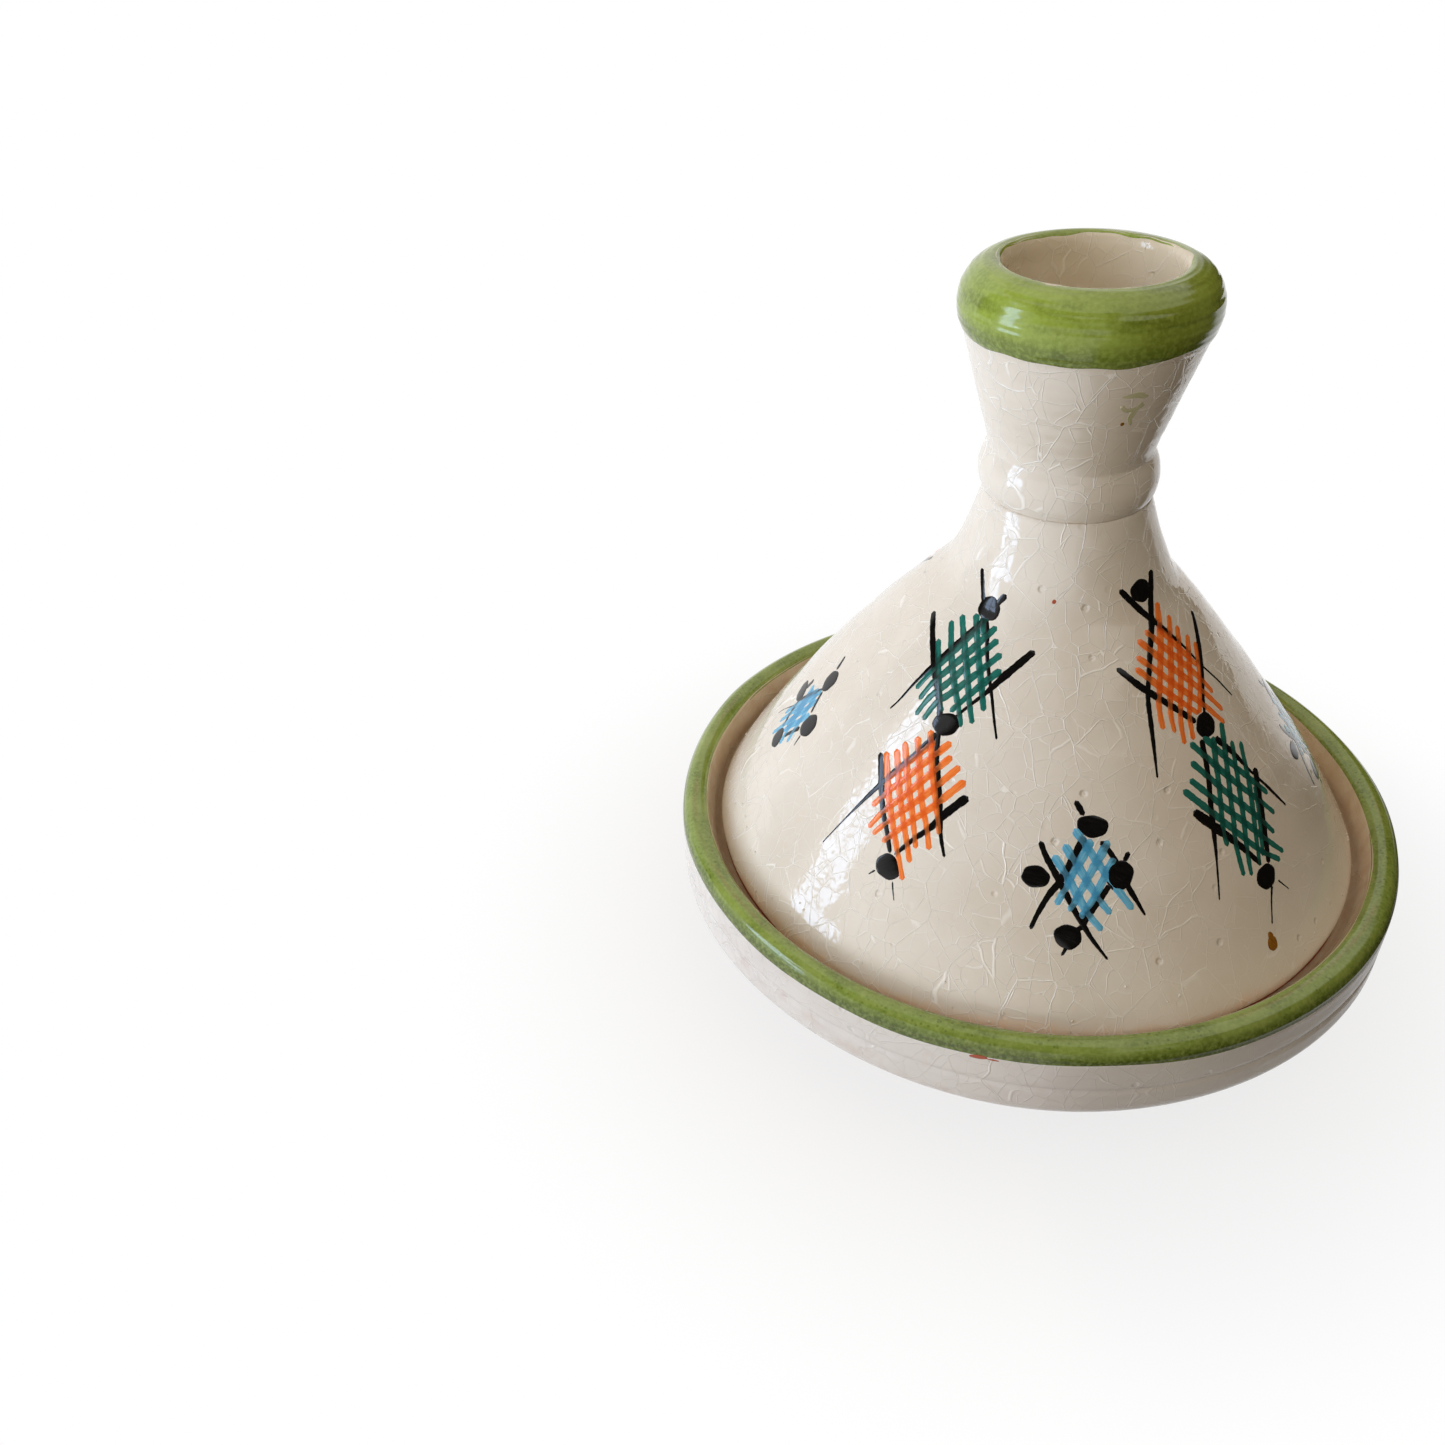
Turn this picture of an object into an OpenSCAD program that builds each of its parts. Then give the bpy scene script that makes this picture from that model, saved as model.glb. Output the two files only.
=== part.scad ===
// Tagine pot: a footed dish with a gallery, and a tall conical lid that sits in
// the gallery and ends in a hollow, cup-shaped knob. Both are red earthenware,
// coated with cream glaze and banded with green glaze on the two rims.
// Origin: on the ground, at the centre of the foot ring. +Z is up, in mm.

/* [Dish] */
// Radius of the dish at the outside of its wall, bare clay
dish_r = 65.7; // [62:0.2:80]
// Height of the bare clay dish, from the ground to the top of its rim
dish_h = 29.2; // [28:0.2:36]
// Thickness of the upright wall round the gallery, at its foot
dish_wall = 5.5; // [4.5:0.1:7]
// How far the wall leans out from the gallery up to the rim
wall_flare = 1.2; // [0:0.1:2]
// Height of the lower corner of the outer wall above the ground
wall_low_z = 14; // [12:0.2:16]
// How far that corner is drawn in under the wall
wall_low_in = 3; // [1:0.1:4]
// Height of the gallery that carries the lid, bare clay
gallery_z = 22; // [20.5:0.1:23]
// Width of the gallery, from the wall to the lip of the bowl
gallery_w = 8.6; // [7.8:0.1:11]
// Height of the floor of the bowl above the ground, bare clay
floor_z = 9; // [7:0.1:11]
// Radius of the flat part of the bowl's floor
floor_r = 33; // [24:0.5:38]

/* [Foot] */
// Outer radius of the foot ring on the ground
foot_r = 43; // [36:0.5:50]
// Width of the ring that touches the ground
foot_w = 6.5; // [4:0.5:10]
// Height of the foot's outer side
foot_h = 6.6; // [5:0.2:8]
// Depth of the recess turned inside the ring
foot_recess = 3; // [1:0.2:3.6]

/* [Lid] */
// Gap between the edge of the lid and the glazed wall of the gallery
lid_gap = 0.8; // [0.4:0.1:1.5]
// Height of the upright edge of the lid
edge_h = 2.8; // [2:0.1:4]
// Thickness of the cone's wall
lid_wall = 5; // [4:0.1:6]
// Height of the cone, from its seat to the groove under the knob
cone_h = 69.3; // [60:0.5:90]
// How far the side of the cone swells out from a straight line
cone_swell = 1.6; // [0:0.1:3]
// Height of the concave shoulder between the straight side and the groove
shoulder_h = 15.9; // [10:0.1:20]
// Radius at the shoulder's lower end, beyond the neck
shoulder_out = 6.4; // [5:0.1:9]

/* [Knob] */
// Radius of the neck, at the groove where the knob is luted to the cone
neck_r = 13.2; // [12:0.1:16]
// Radius of the collar bead, beyond the neck
bead_out = 0.9; // [0.3:0.1:1.5]
// Height of the collar bead, from the groove to the waist
bead_h = 7.6; // [5:0.1:9]
// Radius of the waist over the bead
waist_r = 12.8; // [11.5:0.1:14]
// Height of the whole knob, bare clay
knob_h = 36.3; // [33:0.1:48]
// Outer radius of the rolled rim of the knob
knob_r = 19.2; // [17.6:0.1:23]
// Height of that rolled rim, top to bottom
roll_h = 12; // [10:0.1:14]
// Radius of the mouth of the knob, inside its rim
mouth_r = 13.2; // [12:0.1:15]
// Width of the inner lip, from the mouth to the rim's crest
crest_w = 1; // [0.8:0.1:2]
// Depth of the cup inside the knob
cup_d = 24; // [17:0.5:25]

/* [Glaze] */
// Thickness of the glaze coat
glaze_t = 0.4; // [0.2:0.05:0.6]
// Drop of the green band on the outside of the dish, from the rim's top
band_drop = 2.4; // [2:0.1:4]
// Drop of the green band on the outside of the knob, below its rolled rim
knob_band_drop = 0.6; // [0.5:0.1:3]
// Bare strip left along the lid's lower edge
bare_edge = 1.4; // [0.8:0.1:1.8]

/* [Hidden] */
$fn = 180;

clay = "#a4492c";
cream = "#e6dccb";
green = "#7d9a3b";

// Point at a share t of the curve that leaves p towards c and arrives at q from c
function bow_at(p, c, q, t) = (1 - t) * (1 - t) * p + 2 * t * (1 - t) * c + t * t * q;
// That curve in n chords, without its first point
function bow(p, c, q, n = 6) = [for (i = [1:n]) bow_at(p, c, q, i / n)];
// Arc of an ellipse about m with half axes a and b, from angle u to angle v
function roll(m, a, b, u, v, n = 8) =
    [for (i = [0:n]) let (w = u + (v - u) * i / n) m + [a * cos(w), b * sin(w)]];
// Unit normal of the chord from p to q, on its right-hand side
function side(p, q) = let (d = q - p) [d[1], -d[0]] / norm(d);
// Corner i of profile p pushed out by t, square to both of its chords
function pushed(p, i, t) =
    let (e = side(p[max(i - 1, 0)], p[max(i, 1)]),
         f = side(p[min(i, len(p) - 2)], p[min(i + 1, len(p) - 1)]))
    p[i] + t * (e + f) / (1 + e * f);

// Points from i to j of a profile, and the same stretch pushed out, back to the start.
// Corner number level is pushed straight sideways, so the coat ends flat there.
function coat(p, i, j, level = -1) =
    concat([for (k = [i:j]) p[k]],
           [for (k = [j:-1:i]) k == level ? p[k] + [glaze_t, 0] : pushed(p, k, glaze_t)]);

// ---- dish profile, anticlockwise: foot, outer wall, rim, gallery, bowl ----
gallery_r = dish_r - dish_wall;            // inside of the wall at the gallery
lip_r = gallery_r - gallery_w;             // lip of the bowl
rim_in = gallery_r + wall_flare;           // inside of the wall under the rim
rim_a = (dish_r - rim_in) / 2;             // half width of the rim
rim_m = [dish_r - rim_a, dish_h - band_drop];
lip_round = 1.2;                           // rounding of the bowl's lip
corner_round = 0.9;                        // rounding in the corner of the gallery
foot_edge = 0.8;                           // chamfer round the foot ring
foot_in = foot_r - foot_w;
foot_side = 1.6;                           // how far the foot's side leans out
band_in = 150;                             // where the green band ends inside, in degrees
wall_mid_z = (wall_low_z + rim_m[1]) / 2;
line_d = 0.35;                             // depth of the turned line round the wall
line_h = 0.9;                              // half height of that line

foot_pts = [
    [0, foot_recess],
    [foot_in - foot_edge, foot_recess],
    [foot_in, 0],
    [foot_r - foot_edge, 0],
    [foot_r, foot_edge],
    [foot_r + foot_side, foot_h],
    [dish_r - wall_low_in, wall_low_z - foot_edge]];
wall_pts = concat(
    bow([dish_r - wall_low_in, wall_low_z - foot_edge], [dish_r - 0.3, wall_low_z],
        [dish_r, wall_low_z + 3], 5),
    [[dish_r, wall_mid_z - line_h], [dish_r - line_d, wall_mid_z], [dish_r, wall_mid_z + line_h]]);
rim_pts = roll(rim_m, rim_a, band_drop, 0, band_in, 9);
bowl_pts = concat(
    [[rim_in, rim_m[1]]],
    [[gallery_r, gallery_z + corner_round], [gallery_r - corner_round, gallery_z]],
    [[lip_r + lip_round, gallery_z]],
    bow([lip_r + lip_round, gallery_z], [lip_r, gallery_z], [lip_r - 0.3, gallery_z - lip_round], 3),
    bow([lip_r - 0.3, gallery_z - lip_round], [lip_r - 3.5, floor_z + 0.4], [floor_r, floor_z], 9),
    [[0, floor_z]]);
dish_pts = concat(foot_pts, wall_pts, rim_pts, bowl_pts);
wall_from = len(foot_pts) - 1;
rim_from = len(foot_pts) + len(wall_pts);
bowl_from = rim_from + len(rim_pts) - 1;
bowl_to = len(dish_pts) - 1;

// ---- lid profile: outside from the edge up to the groove, then the hollow ----
seat_z = gallery_z + glaze_t;
edge_r = gallery_r - 2 * glaze_t - lid_gap;
edge_round = 0.7;
neck_z = seat_z + cone_h;
cone_foot = [edge_r - 0.3, seat_z + edge_h];
shoulder = [neck_r + shoulder_out, neck_z - shoulder_h];
cone_run = shoulder - cone_foot;
cone_out = [cone_run[1], -cone_run[0]] / norm(cone_run);
cone_mid = (cone_foot + shoulder) / 2 + 2 * cone_swell * cone_out;
shoulder_mid = shoulder + 0.14 * 2 * (shoulder - cone_mid) / 2;

lid_out = concat(
    [[edge_r - edge_round, seat_z], [edge_r, seat_z + edge_round], [edge_r, seat_z + bare_edge]],
    [cone_foot],
    bow(cone_foot, cone_mid, shoulder, 10),
    bow(shoulder, shoulder_mid, [neck_r, neck_z], 6));
hollow_top = neck_z - lid_wall - 3.4;
hollow_side = shoulder - lid_wall * cone_out;
hollow_foot = [edge_r - lid_wall * 1.2, seat_z + 2];
hollow_mid = cone_mid - lid_wall * cone_out;
hollow_pts = concat(
    bow([0, hollow_top], [hollow_side[0] * 0.62, hollow_top], hollow_side, 5),
    bow(hollow_side, hollow_mid, hollow_foot, 8),
    [[hollow_foot[0] + 0.4, seat_z]]);
lid_pts = concat(lid_out, [[0, neck_z], [0, hollow_top]], hollow_pts);
lid_from = 2;
lid_to = len(lid_out) - 1;

// ---- knob profile: collar bead, waist, flare, rolled rim, cup ----
waist_z = neck_z + bead_h;
knob_top = neck_z + knob_h;
crest_r = mouth_r + crest_w;
roll_a = knob_r - crest_r;
roll_m = [crest_r, knob_top - roll_h / 2];
lip_h = 2.2;                               // height of the rounding into the mouth
roll_start = -38;                          // where the roll leaves the flare, in degrees
green_end = 112;                           // where the green ends, just past the crest
roll_end = 150;                            // where the rounding into the mouth ends
roll_foot = roll_m + [roll_a * cos(roll_start), roll_h / 2 * sin(roll_start)];
flare_foot = [waist_r + 0.9, waist_z + 4];
band_at = roll_foot - [knob_band_drop * 0.3, knob_band_drop];
cup_z = knob_top - cup_d;
cup_side = [(waist_r + mouth_r) / 2 - 2.9, cup_z + 4];
cup_flat = 2;                              // radius of the flat at the cup's bottom

collar_pts = concat(
    [[0, neck_z], [neck_r, neck_z]],
    bow([neck_r, neck_z], [neck_r + 2 * bead_out, neck_z + bead_h / 2.2], [waist_r, waist_z], 7),
    bow([waist_r, waist_z], [waist_r + 0.2, waist_z + 1.8], flare_foot, 5),
    [band_at]);
lip_m = [crest_r, knob_top - lip_h];
roll_pts = concat(
    roll(roll_m, roll_a, roll_h / 2, roll_start, 84, 12),
    roll(lip_m, crest_w, lip_h, 90, green_end, 2));
lip_pts = roll(lip_m, crest_w, lip_h, green_end + 12, roll_end, 3);
cup_pts = concat(
    lip_pts,
    bow(lip_pts[len(lip_pts) - 1], [cup_side[0] + 2.6, cup_z + 12], cup_side, 6),
    bow(cup_side, [cup_side[0] - 1, cup_z], [cup_flat, cup_z], 5),
    [[0, cup_z]]);
knob_pts = concat(collar_pts, roll_pts, cup_pts);
band_from = len(collar_pts) - 1;
cup_from = len(collar_pts) + len(roll_pts) - 1;
cup_to = len(knob_pts) - 1;

module turned(points) {
    rotate_extrude() polygon(points);
}

// Red clay dish with its turned foot ring
module dish_clay() {
    color(clay) turned(dish_pts);
}

// Cream coat on the outside of the dish wall
module dish_wall_glaze() {
    color(cream) turned(coat(dish_pts, wall_from, rim_from));
}

// Green band over the rim of the dish
module dish_rim_glaze() {
    color(green) turned(coat(dish_pts, rim_from, bowl_from));
}

// Cream coat on the gallery and the bowl
module dish_bowl_glaze() {
    color(cream) turned(coat(dish_pts, bowl_from, bowl_to));
}

// Red clay cone, hollow, bare inside and along its edge
module lid_clay() {
    color(clay) turned(lid_pts);
}

// Cream coat on the outside of the cone
module lid_glaze() {
    color(cream) turned(coat(lid_pts, lid_from, lid_to, lid_to));
}

// Red clay knob, thrown as a cup and luted to the cone at the collar
module knob_clay() {
    color(clay) turned(knob_pts);
}

// Cream coat on the collar, waist and flare of the knob
module knob_glaze() {
    color(cream) turned(coat(knob_pts, 1, band_from, 1));
}

// Green band over the rolled rim of the knob
module knob_rim_glaze() {
    color(green) turned(coat(knob_pts, band_from, cup_from));
}

// Cream coat inside the cup of the knob
module cup_glaze() {
    color(cream) turned(coat(knob_pts, cup_from, cup_to));
}

dish_clay();
dish_wall_glaze();
dish_rim_glaze();
dish_bowl_glaze();
lid_clay();
lid_glaze();
knob_clay();
knob_glaze();
knob_rim_glaze();
cup_glaze();
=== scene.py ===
# %% [markdown]
# # A small glazed tagine pot, turned and painted in Blender
#
# The pot is red earthenware: a footed dish with a gallery, and a tall conical lid that ends in a
# hollow knob. Both are dipped in cream glaze, banded with green on their rims and painted with
# brush strokes. Everything on the wheel is a profile carried round an axis, so nearly every piece
# below is one profile (radius r, height z, in millimetres) worked out with numpy and revolved.

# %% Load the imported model, which fixes the frame and the size
import math

import bpy
import numpy as np
from mathutils import Matrix


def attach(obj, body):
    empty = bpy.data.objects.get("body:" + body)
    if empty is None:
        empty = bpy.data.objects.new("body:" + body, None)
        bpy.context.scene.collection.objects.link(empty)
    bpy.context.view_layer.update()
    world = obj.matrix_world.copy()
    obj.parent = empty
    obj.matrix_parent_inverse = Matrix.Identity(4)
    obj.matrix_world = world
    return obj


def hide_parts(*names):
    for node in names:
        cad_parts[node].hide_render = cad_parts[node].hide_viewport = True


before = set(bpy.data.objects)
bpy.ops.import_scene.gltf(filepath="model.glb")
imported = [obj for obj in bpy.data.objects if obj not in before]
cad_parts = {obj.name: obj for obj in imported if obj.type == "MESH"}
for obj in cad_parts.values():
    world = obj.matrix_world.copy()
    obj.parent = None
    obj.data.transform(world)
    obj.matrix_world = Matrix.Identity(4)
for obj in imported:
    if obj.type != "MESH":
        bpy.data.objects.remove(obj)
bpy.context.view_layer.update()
bpy.context.scene.view_settings.view_transform = "Standard"

# %% [markdown]
# ## Camera
#
# The pot is seen from a little above, by a camera held close to it and rolled slightly to the
# left, so its uprights lean. A camera's view is three perpendicular directions: right, up and
# backwards. They are worked out from the height of the eye, then turned by three small angles.

# %% Camera from an eye point and a small roll
MM = 0.001
IMAGE_SIDE = 1445
FOCAL_PX = 1300.95
EYE = np.array([0.0, -201.585, 188.892])
AIM_HEIGHT = 57.0
TILT, PAN, ROLL = 0.0608, 0.2375, 0.1192


def turn_about(axis_times_angle):
    """Rodrigues: turning by angle w about unit axis k is I + sin w K + (1 - cos w) K K."""
    angle = np.linalg.norm(axis_times_angle)
    kx, ky, kz = np.asarray(axis_times_angle) / angle
    cross = np.array([[0, -kz, ky], [kz, 0, -kx], [-ky, kx, 0]])
    return np.eye(3) + math.sin(angle) * cross + (1 - math.cos(angle)) * cross @ cross


def stand(thing, right, up, back, place):
    """Link an object and put it at a place in metres, its x, y and z along right, up and back."""
    bpy.context.scene.collection.objects.link(thing)
    matrix = np.eye(4)
    matrix[:3] = np.c_[right, up, back, place]
    thing.matrix_world = Matrix(matrix.tolist())


slope = math.atan2(EYE[2] - AIM_HEIGHT, -EYE[1])
ahead = np.array([0.0, math.cos(slope), -math.sin(slope)])
across = np.array([1.0, 0.0, 0.0])
view_rows = turn_about((TILT, PAN, ROLL)) @ np.array([across, np.cross(ahead, across), ahead])
lens = bpy.data.cameras.new("studio_camera")
lens.sensor_width = 36.0
lens.lens = lens.sensor_width * FOCAL_PX / IMAGE_SIDE
camera = bpy.data.objects.new("studio_camera", lens)
stand(camera, view_rows[0], -view_rows[1], -view_rows[2], EYE * MM)
bpy.context.scene.camera = camera
print("camera lens: %.1f mm" % lens.lens)

# %% [markdown]
# ## Profiles
#
# A potter's profile is made of straight cuts, gentle bows and rolled edges. A bow is a quadratic
# Bezier curve and a rolled edge is an arc of an ellipse. The parts are laid end to end and walked
# in even steps, so any place on the clay has one address: its length along the profile.

# %% Profile helpers
STEP = 0.1


def bow(start, pull, end, count=60):
    """Quadratic Bezier: (1-t)^2 start + 2t(1-t) pull + t^2 end, for t from 0 to 1."""
    t = np.linspace(0.0, 1.0, count + 1)[:, None]
    start, pull, end = map(np.array, (start, pull, end))
    return (1 - t) ** 2 * start + 2 * t * (1 - t) * pull + t**2 * end


def rolled(middle, half_width, half_height, start, end, count=60):
    """Arc of an ellipse: middle + (half_width cos a, half_height sin a), a in degrees."""
    a = np.radians(np.linspace(start, end, count + 1))
    return np.c_[middle[0] + half_width * np.cos(a), middle[1] + half_height * np.sin(a)]


def wheel_path(parts, soften=0.5):
    """Lay parts end to end, resample every STEP and blur corners over a window of soften mm.

    Returns a dict: length s, radius r, height z, outward normal (nr, nz) = (dz, -dr)/ds,
    and ends, the length at which each part ends."""
    points = np.vstack(parts).astype(float)
    jumps = np.hypot(*np.diff(points, axis=0).T)
    length = np.r_[0.0, np.cumsum(jumps)]
    ends = length[np.cumsum([len(part) for part in parts]) - 1]
    s = np.linspace(0.0, length[-1], int(length[-1] / STEP) + 1)
    r, z = (np.interp(s, length, column) for column in points.T)
    width = max(int(soften / STEP) // 2 * 2 + 1, 1)
    window = np.hanning(width + 2)[1:-1]
    window /= window.sum()
    blur = [np.convolve(np.pad(c, width // 2, mode="reflect", reflect_type="odd"), window, "valid")
            for c in (r, z)]
    dr, dz = (np.gradient(c, s) for c in blur)
    size = np.hypot(dr, dz)
    return {"s": s, "r": blur[0], "z": blur[1], "nr": dz / size, "nz": -dr / size, "ends": ends}


def on_path(path, s, lift=0.0):
    """Radius and height at length s, pushed out by lift along the normal."""
    r, z, nr, nz = (np.interp(s, path["s"], path[key]) for key in ("r", "z", "nr", "nz"))
    return r + lift * nr, z + lift * nz


def length_at_height(path, height, s_from, s_to):
    """Length at which a rising stretch of the path reaches the height."""
    stretch = (path["s"] >= s_from) & (path["s"] <= s_to)
    return float(np.interp(height, path["z"][stretch], path["s"][stretch]))


# %% [markdown]
# ## The dish and lid profiles
#
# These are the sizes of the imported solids, in millimetres of bare clay. The glaze adds 0.4 mm.
# The dish runs from the axis under its foot, out and up over the rim, and back over the gallery
# into the bowl. The lid runs from the top of its hollow, down, round its seat, and up outside.

# %% Dish profile
GLAZE = 0.4
dish_path = wheel_path([
    [(0, 3.0), (35.7, 3.0)],
    [(36.5, 0.0), (42.2, 0.0)],
    [(43.0, 0.8), (44.6, 6.6), (62.7, 13.2)],
    bow((62.7, 13.2), (65.4, 14.0), (65.7, 17.0)),
    [(65.7, 19.5), (65.35, 20.4), (65.7, 21.3), (65.7, 26.8)],
    rolled((63.55, 26.8), 2.15, 2.4, 0, 150),
    [(61.4, 26.8), (60.2, 22.9), (59.3, 22.0), (52.8, 22.0)],
    bow((52.8, 22.0), (51.6, 22.0), (51.3, 20.8)),
    bow((51.3, 20.8), (48.1, 9.4), (33.0, 9.0)),
    [(0, 9.0)],
])
foot_end, _, wall_start, _, rim_start, rim_end = dish_path["ends"][:6]
gallery_end, lip_end, bowl_end, dish_end = dish_path["ends"][6:]
print("dish profile: %.0f mm round" % dish_end)

# %% Lid profile
cone_foot = (58.3, 25.2)
shoulder = (19.6, 75.8)
neck = (13.2, 91.7)
lid_path = wheel_path([
    [(0, 83.3)],
    bow((0, 83.3), (9.7, 83.3), (15.63, 72.76)),
    bow((15.63, 72.76), (37.52, 49.40), (52.6, 24.4)),
    [(53.0, 22.4), (57.9, 22.4)],
    [(58.6, 23.1), (58.6, 23.8)],
    [(58.6, 23.8), cone_foot],
    bow(cone_foot, (41.49, 52.44), shoulder, 120),
    bow(shoulder, (16.54, 79.07), neck, 60),
    [(0, 91.7)],
])
hollow_end, _, bare_end, cone_start, _, neck_end, lid_end = lid_path["ends"][2:]
print("lid profile: %.0f mm round" % lid_end)

# %% Knob profile
flare_top = (17.96, 117.71)
crest_middle = (14.2, 125.8)
lip_edge = (13.33, 126.9)
cup_bend = (10.1, 108.0)
knob_path = wheel_path([
    [(0, 91.7), neck],
    bow(neck, (15.0, 95.15), (12.8, 99.3)),
    bow((12.8, 99.3), (13.0, 101.1), (13.7, 103.3)),
    [flare_top],
    rolled((14.2, 122.0), 5.0, 6.0, -38, 84),
    rolled(crest_middle, 1.0, 2.2, 90, 112),
    rolled(crest_middle, 1.0, 2.2, 114, 150),
    bow(lip_edge, (12.7, 116.0), cup_bend),
    bow(cup_bend, (9.1, 104.0), (2.0, 104.0)),
    [(0, 104.0)],
], soften=0.6)
collar_start, _, _, flare_end, _, mouth_end = knob_path["ends"][:6]
knob_end = knob_path["ends"][-1]
print("knob profile: %.0f mm round" % knob_end)

# %% [markdown]
# ## The potter's hand
#
# Nothing thrown by hand is quite round. Slow waves round the axis make the dish a little oval,
# and the lid leans to one side where its shoulder was closed in. Every piece of a body goes
# through the same function, so clay, glaze and paint move together and stay seated. The dish
# keeps its round gallery, because the lid has to drop in whichever way it is turned.

# %% Hand-made waves
LEVEL = 1e9  # a wavelength so long that a wave stays level along the profile


def waves(angle, along, seed, orders, sizes):
    """Sum of size * sin(n angle + k along + phase), n whole so that it closes round the axis."""
    rng = np.random.default_rng(seed)
    total = np.zeros(np.broadcast(angle, along).shape)
    for n, (amount, wavelength) in zip(orders, sizes):
        k = 2 * math.pi / wavelength * rng.choice([-1, 1])
        total = total + amount * np.sin(n * angle + k * along + rng.uniform(0, 2 * math.pi))
    return total


def smooth(edge_low, edge_high, value):
    """Smoothstep: 0 below edge_low, 1 above edge_high, 3t^2 - 2t^3 between."""
    t = np.clip((value - edge_low) / (edge_high - edge_low), 0.0, 1.0)
    return t * t * (3 - 2 * t)


DISH_WAVES = ((-0.35, 1, 90), (0.42, 2, 0), (-0.28, 3, 31), (0.22, 4, 0))
DISH_MEAN = -0.25
ROUND_WITHIN, FREE_BEYOND = 61.0, 65.0
ROOM_ALONG_X, ROOM_ALONG_Y, EASE = -0.09, 2.9, 0.12


def dish_by_hand(points):
    """Outside the gallery the radius grows by DISH_MEAN + sum of size cos(n angle - phase).

    So that the dish keeps its box, the growth stays below room(angle), which runs as a sine
    squared from ROOM_ALONG_X to ROOM_ALONG_Y: grown = room - EASE ln(1 + e^((room - grown) /
    EASE)) follows the smaller of the two, the same for every layer at one angle."""
    x, y, z = np.moveaxis(points, -1, 0)
    radius = np.hypot(x, y)
    angle = np.arctan2(y, x)
    grown = DISH_MEAN + waves(angle, z, 11, (5, 7), ((0.06, 40), (0.04, 25)))
    for size, n, phase in DISH_WAVES:
        grown = grown + size * np.cos(n * angle - math.radians(phase))
    room = ROOM_ALONG_X + (ROOM_ALONG_Y - ROOM_ALONG_X) * np.sin(angle) ** 2
    grown = room - EASE * np.log1p(np.exp((room - grown) / EASE))
    scale = 1 + smooth(ROUND_WITHIN, FREE_BEYOND, radius) * grown / np.maximum(radius, 1.0)
    return np.stack([x * scale, y * scale, z], -1)


LID_LEAN = 0.9
LEAN_HEIGHT, LEAN_SPREAD = 77.0, 13.0


def lid_by_hand(points):
    """x grows by LID_LEAN exp(-((z - LEAN_HEIGHT) / LEAN_SPREAD)^2), radius by slow waves."""
    x, y, z = np.moveaxis(points, -1, 0)
    radius = np.hypot(x, y)
    angle = np.arctan2(y, x)
    swell = waves(angle, z, 5, (2, 3, 4), ((0.14, 130), (0.10, 60), (0.06, 34)))
    away_from_seats = smooth(24.0, 40.0, z) * (1 - smooth(88.0, 96.0, z))
    scale = 1 + swell * away_from_seats / np.maximum(radius, 3.0)
    lean = LID_LEAN * np.exp(-(((z - LEAN_HEIGHT) / LEAN_SPREAD) ** 2))
    return np.stack([x * scale + lean, y * scale, z], -1)


HAND = {"dish": dish_by_hand, "lid": lid_by_hand}
print("hand-made waves on the dish:", len(DISH_WAVES))

# %% [markdown]
# ## From a profile to a mesh
#
# A turned piece is a grid: rows along the profile, columns round the axis. Its faces join each
# grid point to its neighbours, and the last column joins the first. A solid of clay begins and
# ends on the axis, where one point closes the pole. A coat of glaze is a thin loop that goes out
# along its surface and back underneath, so it is closed too.

# %% Grids, poles and faces
TURNS = 400
AROUND = np.linspace(0, 2 * math.pi, TURNS, endpoint=False)[None, :]


def round_the_axis(r, z, angle):
    """Point (r cos a, r sin a, z) for arrays of radius, height and angle."""
    r, z, angle = np.broadcast_arrays(r, z, angle)
    return np.stack([r * np.cos(angle), r * np.sin(angle), z], -1)


def grid_faces(rows, columns, first, loop):
    """Quads (i, j), (i, j+1), (i+1, j+1), (i+1, j), so that normals face outwards."""
    i = np.arange(rows if loop else rows - 1)[:, None]
    j = np.arange(columns)[None, :]
    i2, j2 = (i + 1) % rows, (j + 1) % columns
    quads = np.stack([i * columns + j, i * columns + j2, i2 * columns + j2, i2 * columns + j], -1)
    return (quads.reshape(-1, 4) + first).tolist()


def poles_to_points(grid):
    """Rows of a grid one after the other, the first and the last reduced to one point each."""
    inner = grid[1:-1].reshape((-1,) + grid.shape[2:])
    return np.concatenate([grid[0, :1], inner, grid[-1, :1]])


def faces_with_poles(rings, columns):
    """Triangles round the first point, quads over the rings, triangles round the last point."""
    j = np.arange(columns)
    following = (j + 1) % columns
    last = rings * columns + 1
    bottom = np.stack([0 * j, 1 + following, 1 + j], -1)
    top = np.stack([last - columns + j, last - columns + following, 0 * j + last], -1)
    return bottom.tolist() + grid_faces(rings, columns, 1, False) + top.tolist()


# %% Mesh objects that ride on a body
def mesh_object(name, points, faces, material, marks):
    """Linked object from points in metres; marks are a value or a vector for each point."""
    mesh = bpy.data.meshes.new(name)
    mesh.from_pydata(points.tolist(), [], faces)
    for key, values in marks.items():
        kind, field = ("FLOAT_VECTOR", "vector") if values.ndim == 2 else ("FLOAT", "value")
        layer = mesh.attributes.new(key, kind, "POINT")
        layer.data.foreach_set(field, np.ascontiguousarray(values, dtype=np.float32).ravel())
    mesh.materials.append(material)
    made = bpy.data.objects.new(name, mesh)
    bpy.context.scene.collection.objects.link(made)
    return made


def make_piece(name, points, faces, body, material, nodes=(), marks=None):
    """A smooth mesh object at the origin that rides on a body and may stand for CAD nodes."""
    made = mesh_object(name, points * MM, faces, material, marks or {})
    mesh = made.data
    mesh.polygons.foreach_set("use_smooth", np.ones(len(mesh.polygons), dtype=bool))
    mesh.validate()
    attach(made, body)
    if nodes:
        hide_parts(*nodes)
    print("%-22s %6d points %6d faces" % (name, len(mesh.vertices), len(mesh.polygons)))


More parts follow.
